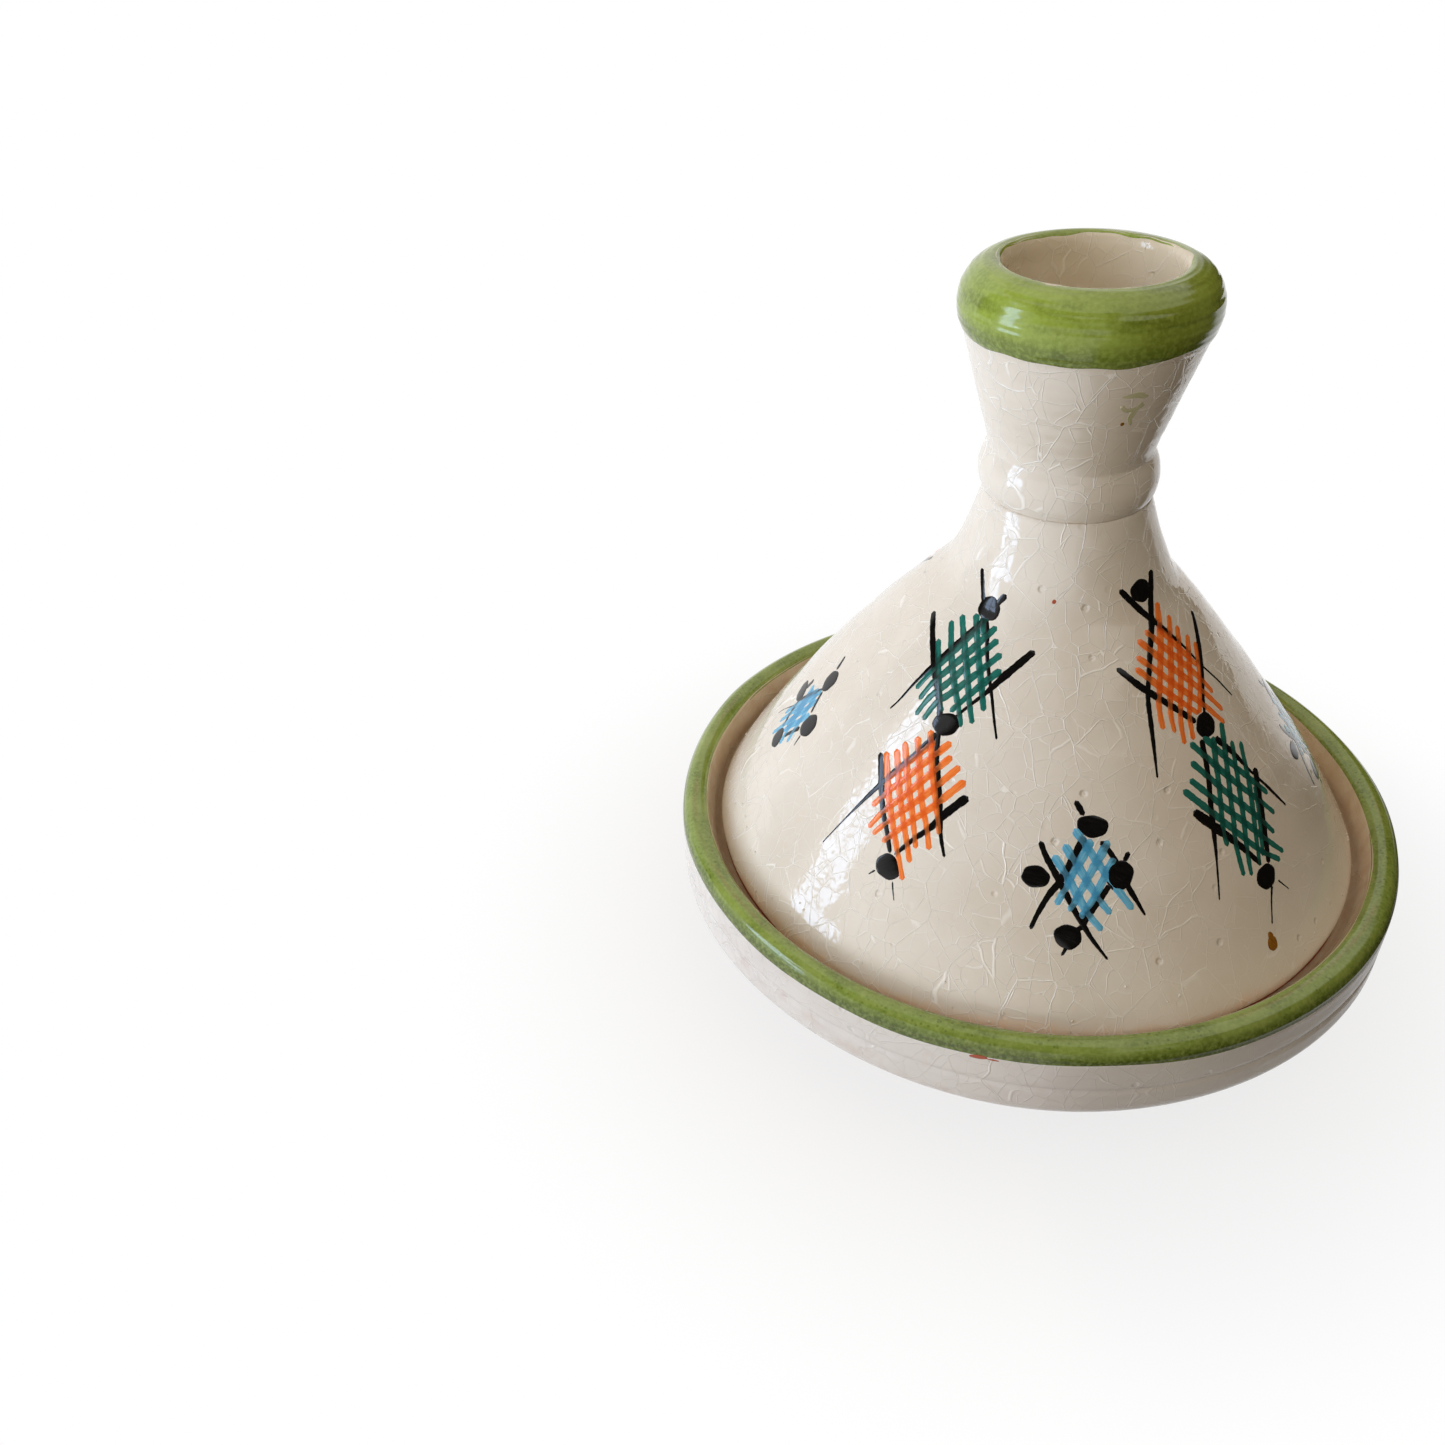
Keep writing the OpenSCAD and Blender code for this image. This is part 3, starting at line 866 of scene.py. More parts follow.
# %% Planning a brush stroke
def smooth_line(points, spacing=0.4):
    """Catmull-Rom curve through the points, sampled about every spacing mm."""
    p = np.array(points, dtype=float)
    p = np.vstack([2 * p[0] - p[1], p, 2 * p[-1] - p[-2]])
    runs = []
    for a, b, c, d in zip(p[:-3], p[1:-2], p[2:-1], p[3:]):
        count = max(int(np.hypot(*(c - b)) / spacing), 2)
        t = np.linspace(0, 1, count, endpoint=False)[:, None]
        runs.append(0.5 * (2 * b + (c - a) * t + (2 * a - 5 * b + 4 * c - d) * t**2
                           + (3 * b - a - 3 * c + d) * t**3))
    return np.vstack(runs + [p[-2:-1]])


def plan_stroke(points, width, rng, sizes=(1.0, 1.0), wobble=0.10):
    """Centre line and half width: width / 2 * (sizes spread along it) * slow waves * round ends."""
    p = np.array(points, dtype=float)
    if len(p) == 2:
        p = np.vstack([p[0], p.mean(0) + rng.normal(0, wobble * 2, 2), p[1]])
    line = smooth_line(p + rng.normal(0, wobble, p.shape))
    length = np.r_[0, np.cumsum(np.hypot(*np.diff(line, axis=0).T))]
    total = length[-1]
    direction = np.gradient(line, length, axis=0)
    direction /= np.hypot(*direction.T)[:, None]
    share = length / total
    size = np.interp(share, np.linspace(0, 1, len(sizes)), sizes)
    phase = rng.uniform(0, 6.3, 3)
    size *= 1 + 0.06 * np.sin(share * 7 + phase[0]) + 0.05 * np.sin(length * 2.1 + phase[1])
    nib = np.minimum(0.5 * width * size, total / 2)
    to_end = np.minimum(np.minimum(length, total - length) / np.maximum(nib, 1e-6), 1)
    size *= np.sqrt(np.clip(1 - (1 - to_end) ** 2, 0.0025, 1))
    half = 0.5 * width * size * (1 + 0.05 * np.sin(length * 5.3 + phase[2]))
    side = np.c_[direction[:, 1], -direction[:, 0]]
    return {"line": line, "length": length, "half": half, "side": side}


def share_covered(u, v, others):
    """How far (u, v) lies under or over other strokes: 1 inside their half width, 0 outside."""
    covered = np.zeros(u.shape)
    for other in others:
        apart = np.hypot(u[..., None] - other["line"][:, 0], v[..., None] - other["line"][:, 1])
        nearest = np.argmin(apart, axis=-1)
        gap = np.take_along_axis(apart, nearest[..., None], -1)[..., 0] - other["half"][nearest]
        covered = np.maximum(covered, 1 - smooth(-0.10, 0.14, gap))
    return covered


# %% Laying strokes and dots
ACROSS = np.array([-1.0, -0.86, -0.5, 0.0, 0.5, 0.86, 1.0])
RIDGE = 1 - ACROSS**4
EDGE_LIFT, UNDER_PAINT = -0.01, -0.12  # a stroke's edge and its underside lie inside the glaze
paint = {}


def keep_paint(colour, points, faces, marks, cover):
    """Collect one colour's points and faces, the faces counted on from those before them."""
    empty = {"points": [], "faces": [], "stroke": [], "cover": [], "count": 0}
    lot = paint.setdefault(colour, empty)
    lot["faces"].extend([lot["count"] + corner for corner in face] for face in faces)
    lot["points"].append(points)
    lot["stroke"].append(marks)
    lot["cover"].append(cover)
    lot["count"] += len(points)


def lay_stroke(colour, plan, place, lift, rng, same=(), below=()):
    """Ribbon over the plan: height lift * (1 - x^4) across it, closed below and at the ends."""
    line, half, side = plan["line"], plan["half"][:, None], plan["side"]
    x = np.concatenate([ACROSS, [0.6, -0.6]])[None, :] * half
    u, v = line[:, :1] + side[:, :1] * x, line[:, 1:] + side[:, 1:] * x
    top = EDGE_LIFT + (lift - EDGE_LIFT) * RIDGE[None, :] * np.minimum(1, 3 * half)
    grid = place(u, v, np.hstack([top, np.full((len(line), 2), UNDER_PAINT)]))
    rows, columns = u.shape
    faces = grid_faces(rows, columns, 0, False)
    for cap in (np.arange(columns)[::-1], np.arange(columns) + (rows - 1) * columns):
        faces += np.stack([np.repeat(cap[:1], columns - 2), cap[1:-1], cap[2:]], -1).tolist()
    along = np.broadcast_to(plan["length"][:, None] + rng.uniform(0, 500), u.shape)
    marks = np.stack([along, x, np.full(u.shape, rng.uniform(0, 1000))], -1)
    cover = np.stack([share_covered(u, v, same), share_covered(u, v, below), 0 * u], -1)
    keep_paint(colour, grid.reshape(-1, 3), faces, marks.reshape(-1, 3), cover.reshape(-1, 3))


def dot_of_paint(colour, centre, half_u, half_v, place, lift, rng, tilt=0.0):
    """Blob: radius 1 + small waves round it, height lift * (1 - rho^6), closed underneath."""
    ring = np.linspace(0, 2 * math.pi, 28, endpoint=False)[None, :]
    rho = np.array([0.0, 0.3, 0.55, 0.75, 0.9, 1.0, 0.7, 0.0])[:, None]  # out, then back below
    top = np.array([1, 1, 1, 1, 1, 1, 0, 0])[:, None]
    turns = rng.uniform(0, 6.3, 3)
    wave = (1 + 0.04 * np.sin(2 * ring + turns[0]) + 0.03 * np.sin(3 * ring + turns[1])
            + 0.025 * np.sin(6 * ring + turns[2]))
    a, b = rho * wave * half_u * np.cos(ring), rho * wave * half_v * np.sin(ring)
    c, d = math.cos(tilt), math.sin(tilt)
    u, v = centre[0] + c * a - d * b, centre[1] + d * a + c * b
    height = np.where(top > 0, EDGE_LIFT + (lift - EDGE_LIFT) * (1 - rho**6), UNDER_PAINT)
    points = poles_to_points(place(u, v, height + 0 * ring))
    faces = [face[::-1] for face in faces_with_poles(len(rho) - 2, ring.size)]
    keep_paint(colour, points, faces, points, 0 * points)


# %% [markdown]
# ## The strokes themselves
#
# Each ornament is drawn once in its own (u, v) millimetres: hatching and the longer strokes of
# the black frame each pass through a few points, a frame stroke with its changing widths, and
# round dots (u, v, half width, half height) sit where they cross. The painter repeated the pair
# of lozenges four times round the lid, leaning one way and the other, with a smaller blue
# lozenge low down in each space between. Small seeded shifts make each repeat a little
# different, as a hand does.

# %% Drawing: the pair that leans left
LEAN_LEFT = {
    "dark_green": [
        [(-1.2, 17.8), (-3.2, 13.6), (-5.6, 8.3), (-7.2, 4.6), (-8.3, 2.2)],
        [(0.9, 16.9), (-1.5, 12.1), (-4.3, 7.1), (-5.8, 4.2), (-6.8, 0.9)],
        [(2.1, 15.0), (-0.5, 10.3), (-3.1, 5.5), (-5.2, 2.0), (-6.1, -1.6)],
        [(3.6, 13.0), (0.7, 8.2), (-2.0, 3.9), (-3.4, 1.8), (-4.5, -1.6)],
        [(4.7, 10.6), (1.9, 5.9), (-0.6, 1.4)],
        [(-8.7, 10.9), (-5.8, 6.6), (-3.0, 2.5), (-1.8, 0.8)],
        [(-7.8, 14.5), (-4.2, 9.1), (-1.9, 5.8), (0.8, 2.3), (2.4, -0.2)],
        [(-6.2, 16.2), (-2.8, 11.6), (-0.5, 8.1), (1.9, 3.9), (3.8, 0.8)],
        [(-3.7, 17.6), (-0.5, 12.4), (2.1, 8.1), (4.7, 3.2)],
        [(-2.3, 17.6), (-0.5, 14.6)]],
    "orange": [
        [(1.9, -2.9), (-1.1, -7.7), (-3.5, -11.7), (-5.2, -14.6), (-7.0, -18.0)],
        [(2.9, -4.9), (0.2, -9.6), (-2.2, -13.8), (-4.6, -17.8), (-6.2, -21.5)],
        [(4.9, -6.0), (1.5, -11.8), (-1.0, -15.6), (-3.6, -19.6), (-5.0, -22.1)],
        [(6.5, -8.1), (2.8, -14.1), (0.3, -17.5), (-2.7, -22.4)],
        [(-0.8, -3.6), (-3.4, -8.1), (-6.3, -12.8)],
        [(-2.5, -2.4), (0.2, -7.3), (2.9, -11.9), (4.5, -14.7), (6.0, -17.6)],
        [(-4.1, -4.1), (-1.0, -9.8), (1.4, -14.0), (3.4, -17.0), (5.4, -20.4)],
        [(-6.0, -5.9), (-2.2, -11.9), (0.1, -15.6), (3.2, -20.9)],
        [(-6.9, -7.6), (-3.3, -13.5), (-0.9, -17.2), (1.2, -20.4), (3.1, -23.6)],
        [(-8.6, -9.0), (-4.6, -15.2), (-2.1, -19.0), (0.6, -23.0), (3.1, -26.7)]],
    "frame": [
        ([(-12.8, 13.8), (-7.3, 7.3), (-3.0, 2.2), (-1.2, -1.8), (0.4, -6.0), (2.0, -9.0),
          (4.8, -14.4), (6.3, -17.6), (8.2, -20.8)], (1.25, 1.1, 0.8, 0.95, 0.45)),
        ([(-6.0, 24.6), (-3.8, 20.5), (-0.7, 16.2), (1.2, 12.4), (3.4, 8.6), (5.0, 6.0),
          (7.0, 2.2), (8.6, -0.6)], (0.9, 0.8, 0.5, 0.35)),
        ([(-11.6, -3.0), (-10.4, -0.8), (-9.0, 3.0), (-7.0, 7.2), (-4.6, 12.0), (-1.9, 16.9),
          (-1.0, 19.5), (0.4, 22.4)], (0.3, 0.5, 0.9, 0.9, 1.05)),
        ([(8.5, 14.8), (5.6, 9.6), (4.0, 6.6), (2.0, 3.4), (0.4, 0.4)], (1.25, 1.2, 0.6, 0.5)),
        ([(-1.0, -2.4), (-3.4, -7.4), (-5.2, -10.4), (-7.8, -15.4), (-10.5, -21.0),
          (-12.4, -25.0), (-14.0, -28.5)], (1.1, 0.9, 0.7, 0.3, 0.25)),
        ([(-9.6, -9.6), (-8.0, -12.2), (-6.9, -14.1), (-4.5, -18.0), (-2.5, -20.7),
          (-0.6, -23.5)], (1.0, 1.0, 0.95, 0.7)),
        ([(7.9, -10.3), (5.6, -14.0), (4.1, -17.0), (2.0, -20.0), (0.1, -23.4)],
         (1.35, 1.3, 0.8, 0.6)),
        ([(1.4, -27.4), (3.1, -30.6)], (0.3, 0.2)),
        ([(-1.9, -27.0), (-3.2, -28.5)], (0.4, 0.2))],
    "dots": [(-1.75, 19.1, 2.15, 2.2), (-0.3, -0.6, 2.5, 1.95), (-0.15, -25.6, 2.35, 2.2)],
}

# %% Drawing: the pair that leans right
LEAN_RIGHT = {
    "orange": [
        [(1.5, 21.5), (-1.3, 16.0), (-3.8, 11.9), (-6.2, 8.0), (-7.4, 5.4), (-8.5, 1.9)],
        [(2.6, 18.6), (-0.2, 14.0), (-2.6, 10.0), (-4.9, 6.0), (-6.1, 3.7), (-6.9, 0.9)],
        [(3.3, 16.4), (0.9, 12.0), (-1.4, 8.2), (-3.7, 4.4), (-5.1, 1.8), (-6.0, -1.6)],
        [(4.8, 14.0), (2.2, 10.0), (-0.1, 6.5), (-2.6, 2.8), (-4.1, -1.5)],
        [(6.0, 12.1), (3.7, 8.2), (1.0, 4.4), (-0.6, 1.8)],
        [(-1.0, 18.0), (1.0, 14.0), (3.7, 8.6)],
        [(-3.5, 18.3), (-1.3, 14.0), (1.0, 10.2), (3.3, 6.0), (4.5, 3.4)],
        [(-5.5, 17.0), (-2.6, 12.0), (-0.2, 8.3), (2.6, 4.0), (5.0, -0.1)],
        [(-7.0, 14.6), (-3.8, 9.7), (-1.4, 6.3), (1.5, 2.2), (4.0, -2.0)],
        [(-8.3, 12.8), (-5.0, 7.7), (-2.5, 4.4), (-0.8, 2.0)]],
    "dark_green": [
        [(0.2, -2.4), (-1.2, -5.6), (-3.5, -11.7), (-5.5, -16.6), (-6.1, -19.7)],
        [(3.3, -1.2), (1.4, -5.6), (-0.8, -10.9), (-3.0, -16.5), (-4.2, -20.0), (-5.1, -25.5)],
        [(3.9, -4.9), (1.9, -10.3), (-0.3, -16.1), (-2.3, -21.6), (-3.5, -26.2)],
        [(5.9, -6.0), (3.6, -13.0), (1.4, -18.6), (-0.3, -23.4), (-1.0, -25.6)],
        [(4.9, -13.5), (3.4, -17.5), (0.5, -24.5)],
        [(-2.0, -1.5), (1.6, -7.9), (5.0, -13.0), (7.4, -16.6)],
        [(-4.9, -1.5), (-1.0, -8.2), (2.2, -13.0), (5.2, -17.2), (7.3, -20.1)],
        [(-6.3, -4.4), (-2.2, -11.3), (1.0, -15.9), (3.4, -19.4), (5.3, -22.6)],
        [(-7.9, -7.0), (-3.2, -14.1), (0.0, -18.6), (3.2, -23.0), (5.9, -26.4)],
        [(-9.8, -8.3), (-6.2, -13.6), (-2.9, -18.6), (0.6, -23.5), (4.3, -27.1)]],
    "frame": [
        ([(1.9, 27.0), (0.2, 22.4), (-1.4, 19.0), (-4.0, 15.2), (-6.2, 11.6), (-8.4, 7.6),
          (-10.0, 3.4), (-13.2, -5.4)], (1.2, 1.1, 0.8, 0.7, 0.3)),
        ([(9.9, 15.8), (7.0, 11.8), (4.4, 7.9), (2.0, 4.4), (0.2, 1.2)], (1.2, 1.1, 0.8, 0.6)),
        ([(-5.2, 25.7), (-1.0, 19.0), (0.6, 16.2), (2.6, 12.8), (4.8, 8.2), (7.2, 4.0),
          (9.5, 0.2)], (0.9, 1.1, 0.5, 0.35, 0.3)),
        ([(-11.1, 13.3), (-8.8, 9.5), (-6.0, 6.2), (-2.0, 1.0)], (0.9, 1.2, 1.2, 0.9)),
        ([(-2.4, -1.8), (-4.0, -7.0), (-5.6, -11.4), (-7.0, -15.2), (-8.8, -20.4),
          (-11.4, -27.5)], (1.0, 1.0, 1.0, 0.4, 0.3)),
        ([(6.8, -11.2), (5.0, -15.6), (3.2, -20.6), (1.2, -26.2)], (1.25, 1.4, 1.3, 0.9)),
        ([(0.4, -2.8), (3.2, -7.3), (5.4, -11.4), (8.0, -15.6), (11.4, -21.0)],
         (1.1, 0.9, 0.5, 0.6, 0.35)),
        ([(-9.5, -12.0), (-6.8, -16.0), (-3.4, -20.8), (-0.4, -25.6)], (1.5, 1.5, 1.1, 0.7)),
        ([(0.2, -29.5), (-1.4, -32.2), (-3.0, -35.2)], (0.5, 0.35, 0.3)),
        ([(1.8, -29.4), (4.0, -32.4)], (0.35, 0.2))],
    "dots": [(-1.4, 24.4, 2.2, 1.9), (-0.4, -0.2, 2.35, 2.1), (-0.4, -27.7, 2.4, 2.15)],
}

# %% Drawing: two blue lozenges
BLUE_LOZENGE = {
    "sky_blue": [
        [(1.5, 5.9), (0.2, 3.2), (-1.4, 0.5), (-2.6, -1.8), (-4.1, -4.6)],
        [(4.3, 5.5), (3.0, 3.2), (1.7, 0.9), (0.1, -1.8), (-2.2, -5.6)],
        [(5.5, 2.8), (4.2, 1.0), (3.2, -1.0), (1.7, -3.8), (-0.5, -6.6)],
        [(-1.1, 7.4), (0.9, 4.6), (2.5, 2.0), (4.5, -0.8), (8.1, -5.8)],
        [(-2.7, 5.1), (-0.8, 1.9), (0.9, -0.9), (2.6, -3.6), (4.6, -6.1)],
        [(-4.4, 3.3), (-2.4, 0.0), (-0.6, -3.2), (1.0, -5.9), (3.2, -8.6)]],
    "frame": [
        ([(-0.9, 12.0), (0.4, 9.4)], (0.85, 0.85)),
        ([(-6.4, 5.4), (-5.6, 3.0), (-3.8, -0.2), (-1.0, -5.8), (0.0, -7.5), (1.5, -9.8),
          (4.0, -13.3)], (0.8, 1.1, 0.85, 0.7, 0.35)),
        ([(-8.1, -8.7), (-7.0, -6.0), (-5.2, -3.0), (-3.7, -1.1), (-2.2, 1.2), (-0.3, 4.7),
          (0.6, 6.4)], (0.5, 0.8, 1.1, 1.05, 0.9)),
        ([(0.0, -7.7), (1.0, -5.8), (2.5, -4.0), (4.4, -1.4)], (0.95, 0.95, 0.9)),
        ([(3.0, 5.5), (5.0, 2.7), (7.4, -2.2), (8.8, -4.6), (10.2, -7.1)], (0.75, 0.9, 0.8, 0.3)),
        ([(6.6, 1.8), (7.5, 3.5)], (0.8, 0.85)),
        ([(-2.4, -10.8), (-3.4, -12.6)], (0.65, 0.35)),
        ([(-1.4, -8.6), (0.2, -7.6)], (0.8, 0.8))],
    "dots": [(1.8, 7.8, 2.55, 1.9), (-7.2, -0.3, 2.4, 1.75), (6.0, -0.2, 2.45, 2.4),
             (-2.3, -9.4, 2.3, 2.0)],
}
BLUE_SLIM = {
    "sky_blue": [
        [(-1.4, 4.4), (-3.8, -0.4), (-6.6, -6.2)], [(-0.2, 5.2), (-3.0, -1.6), (-5.8, -7.8)],
        [(1.0, 3.6), (-1.8, -3.2), (-4.6, -10.2)], [(2.2, 1.0), (0.2, -3.0), (-1.5, -6.6)],
        [(-4.5, 3.2), (-2.8, -1.6), (-1.2, -5.8)], [(-3.4, 3.0), (-1.2, -2.8), (0.9, -8.4)],
        [(-0.9, 4.0), (0.8, -1.4), (2.7, -6.3)]],
    "frame": [
        ([(-3.1, 12.2), (-1.6, 9.4)], (0.8, 0.8)),
        ([(-5.6, -2.2), (-4.0, 0.4), (-2.4, 2.6), (-0.4, 5.4)], (0.7, 0.8, 0.6)),
        ([(0.2, 5.4), (1.0, 3.6), (2.2, 1.2)], (0.8, 0.6)),
        ([(-5.5, -1.0), (-4.4, -4.0), (-2.8, -6.8)], (0.9, 0.7)),
        ([(2.7, -2.2), (1.8, -3.8), (0.2, -6.6)], (0.9, 0.7)),
        ([(-6.6, 0.6), (-6.2, 3.0)], (1.1, 0.9)),
        ([(4.6, -2.4), (5.4, -5.0)], (0.5, 0.2)),
        ([(-5.4, -3.0), (-8.4, -6.8), (-9.6, -9.0)], (0.3, 0.2))],
    "dots": [(-0.4, 7.6, 2.1, 2.3), (-7.3, -0.8, 2.3, 1.9), (4.4, -0.1, 2.25, 2.6),
             (-1.5, -8.5, 2.1, 2.0)],
}

# %% Drawing: the lozenge in the bowl
BOWL_LOZENGE = {
    "sky_blue": [[(x, -8), (x + 0.8, 8)] for x in np.arange(-6.2, 6.3, 2.05)]
    + [[(-7, y), (7, y + 0.6)] for y in np.arange(-6.8, 7.0, 2.25)],
    "frame": [
        ([(-24, 7.5), (-8, 8.3), (9, 8)], (1.0, 0.8)),
        ([(-26, -6.5), (-8, -7.5), (10, -8.2)], (1.1, 0.7)),
        ([(-8.5, 12), (-7.5, 0), (-8, -13)], (0.9, 1.1)),
        ([(7.5, 13), (7.2, 0), (8.4, -12)], (1.1, 0.6))],
    "dots": [(x, y, 2.4, 2.2) for x, y in
             ((-7.8, 8.2), (7.4, 8.1), (-7.8, -7.6), (7.8, -8.0), (-15.0, 0.4), (14.5, 1.2))],
}
print("drawings: two pairs, two blue lozenges and one for the bowl")

# %% Painting an ornament
HATCH_WIDTH, BLUE_WIDTH, FRAME_WIDTH = 1.28, 1.42, 1.22
FRAME_LIFT, HATCH_LIFT, NEXT_LAYER, DOT_LIFT = 0.025, 0.034, 0.007, 0.055


def paint_ornament(drawing, place, seed, hatch_width):
    """Frame strokes lowest, then hatching in two layers, then dots; each colour knows its cover."""
    rng = np.random.default_rng(seed)
    frames = [plan_stroke(points, FRAME_WIDTH, rng, sizes, 0.04)
              for points, sizes in drawing["frame"]]
    for plan in frames:
        lay_stroke("black", plan, place, FRAME_LIFT, rng)
    for colour in ("dark_green", "orange", "sky_blue"):
        hatch = [plan_stroke(points, hatch_width, rng, (1.05, 1.05, 0.95, 0.75), 0.05)
                 for points in drawing.get(colour, ())]
        for number, plan in enumerate(hatch):
            others = hatch[:number] + hatch[number + 1:]
            lift = HATCH_LIFT + NEXT_LAYER * (number % 2)
            lay_stroke(colour, plan, place, lift, rng, others, frames)
    for u, v, half_u, half_v in drawing["dots"]:
        tilt = rng.uniform(-0.2, 0.2)
        dot_of_paint("black", (u, v), half_u, half_v, place, DOT_LIFT, rng, tilt)


PAIRS = [(-114.8, 62.0, LEAN_LEFT), (-35.8, 61.1, LEAN_RIGHT),
         (54.0, 61.5, LEAN_LEFT), (144.0, 61.5, LEAN_RIGHT)]
BLUES = [(-76.6, 45.8, BLUE_LOZENGE), (-162.4, 48.7, BLUE_SLIM),
         (5.0, 46.6, BLUE_LOZENGE), (99.0, 47.0, BLUE_SLIM)]
for seed, (turn_deg, height, drawing) in enumerate(PAIRS + BLUES):
    width = HATCH_WIDTH if seed < len(PAIRS) else BLUE_WIDTH
    paint_ornament(drawing, on_cone(turn_deg, height), 100 + seed, width)
print("ornaments on the lid:", len(PAIRS + BLUES))

# %% [markdown]
# ## Small marks of the workshop
#
# A glazed pot keeps traces of how it was handled: a brown drip of iron low on the lid, small
# beads of glaze near its edge, a wiped smear of green on the knob, and two chips that show the
# red body. Each is one or two dots of paint or a few very thin strokes, laid in the same way.

# %% Marks on the lid and the knob
BEADS = 90
rng = np.random.default_rng(400)
on_drip, on_pair = on_cone(-40.3, 30.6), on_cone(*PAIRS[0][:2])
dot_of_paint("brown", (0.0, 0.0), 1.1, 1.35, on_drip, 0.06, rng)
dot_of_paint("brown", (0.1, 1.2), 0.6, 0.8, on_drip, 0.05, rng)
dot_of_paint("red_chip", (8.3, 23.0), 0.35, 0.4, on_pair, 0.03, rng)
for turn_deg, height, size in zip(rng.uniform(-180, 180, BEADS), 25.5 + 9 * rng.beta(1, 3, BEADS),
                                  rng.uniform(0.10, 0.24, BEADS)):
    dot_of_paint("glaze_bead", (0, 0), size, size, on_cone(turn_deg, height), 0.8 * size, rng)
flare_middle = length_at_height(knob_path, 111.0, collar_start, flare_end)
on_flare = on_coat(knob_path, "lid", flare_middle, -62.0)
SMEAR = [([(-2.2, 2.4), (0.6, 2.9), (2.6, 2.2)], 0.9),
         ([(1.8, 1.6), (0.4, -1.2), (1.2, -2.6)], 0.8),
         ([(-1.6, 1.2), (-0.2, 0.2), (2.4, 0.9)], 0.6)]
for points, width in SMEAR:
    plan = plan_stroke(points, width, rng, (1.0, 1.2, 0.7))
    lay_stroke("green_smear", plan, on_flare, -0.002, rng)
dot_of_paint("brown", (-0.4, -2.2), 0.3, 0.35, on_flare, 0.0, rng)
lid_paint, paint = paint, {}
print("strokes on the lid:", {key: len(lot["points"]) for key, lot in lid_paint.items()})

# %% Chip under the green rim, and the lozenge in the bowl
on_wall_top = on_coat(dish_path, "dish", rim_start - 0.9, -91.6)
dot_of_paint("red_chip", (0.0, 0.0), 1.5, 0.42, on_wall_top, 0.03, rng, 0.1)
dot_of_paint("red_chip", (2.3, -0.1), 0.9, 0.16, on_wall_top, 0.02, rng)
paint_ornament(BOWL_LOZENGE, in_bowl(-8.0), 300, BLUE_WIDTH)
bowl_paint, paint = paint, {}
print("strokes on the dish:", {key: len(lot["points"]) for key, lot in bowl_paint.items()})

# %% [markdown]
# ## Brushed colours
#
# The colours are ceramic stains in a little clear glaze, brushed on and fired under gloss. A
# loaded brush leaves streaks along the stroke and lets the ground show where it ran dry. The
# mark 'stroke' carries the length along a stroke and the distance across it, so noise that is
# squeezed along the stroke gives streaks that follow every curve. The mark 'cover' tells where
# two strokes cross and where a stroke runs over the frame.

# %% Material: brushed underglaze stain
def brushed_stain(name, full, streaked, doubled, ground, dryness):
    """Two tones of the stain by noise along the stroke, deeper where two strokes cross and
    nearly black over the frame; the ground shows where the brush ran dry."""
    material, tree = new_material(name)
    mark = add(tree, "Attribute", attribute_name="stroke").outputs["Vector"]
    along = add(tree, "VectorMath", {0: mark, 1: (0.35, 5.5, 1.0)}, operation="MULTIPLY")
    streak = add(tree, "TexNoise", {"Vector": along, "Scale": 1.0, "Detail": 4.0, "Roughness": 0.6})
    paler = add(tree, "MapRange", {0: streak, 1: 0.38, 2: 0.62})
    dry = add(tree, "MapRange", {0: streak, 1: 0.66, 2: 0.78, 4: dryness})
    cover = add(tree, "Attribute", attribute_name="cover").outputs["Vector"]
    parts = add(tree, "SeparateXYZ", {0: cover})
    twice = add(tree, "Math", {0: parts, 1: 0.8}, operation="MULTIPLY")
    over_frame = add(tree, "Math", {0: parts.outputs[1], 1: 0.62}, operation="MULTIPLY")
    colour = full
    for amount, tone in ((paler, streaked), (dry, ground), (twice, doubled),
                         (over_frame, "#1B1613")):
        colour = add(tree, "Mix", {0: amount, A: colour, B: tone})
    place = add(tree, "TexCoord").outputs["Object"]
    peel = add(tree, "TexNoise", {"Vector": place, "Scale": 700.0, "Detail": 2.0})
    gloss = add(tree, "MapRange", {0: streak, 1: 0.3, 2: 0.7, 3: 0.05, 4: 0.13})
    ridges = add(tree, "Bump", {"Height": peel, "Distance": 0.00003, "Strength": 0.5})
    skin = add(tree, "BsdfPrincipled", {"Base Color": colour, "Roughness": gloss, "IOR": 1.4,
                                        "Normal": ridges})
    add(tree, "OutputMaterial", {0: skin})
    return material


# each stain: name, full tone, streaked tone, tone where strokes cross, ground, dryness
STAINS = {colour: brushed_stain(*tones) for colour, tones in {
    "black": ("manganese_black_stain", "#0B0B0B", "#151413", "#0A0A0A", "#4A453F", 0.3),
    "dark_green": ("chrome_green_stain", "#1B655B", "#2A7468", "#0E4A42", "#8FA598", 0.35),
    "orange": ("cadmium_orange_stain", "#F27128", "#F79049", "#E4560F", "#F2B890", 0.4),
    "sky_blue": ("cobalt_sky_blue_stain", "#53A9D4", "#7CC0DE", "#3A8EBE", "#B4D2DE", 0.4),
    "brown": ("iron_brown_drip", "#7E4C12", "#9C6A22", "#6A3E0C", "#B58A4A", 0.3),
    "red_chip": ("bare_red_chip", "#A5472C", "#B65A3C", "#8E3A22", "#C98A6C", 0.4),
    "green_smear": ("wiped_green_smear", "#B9BB8C", "#D2CDB4", "#A6AA70", "#DDD6C6", 1.0),
}.items()}
STAINS["glaze_bead"] = lid_cream


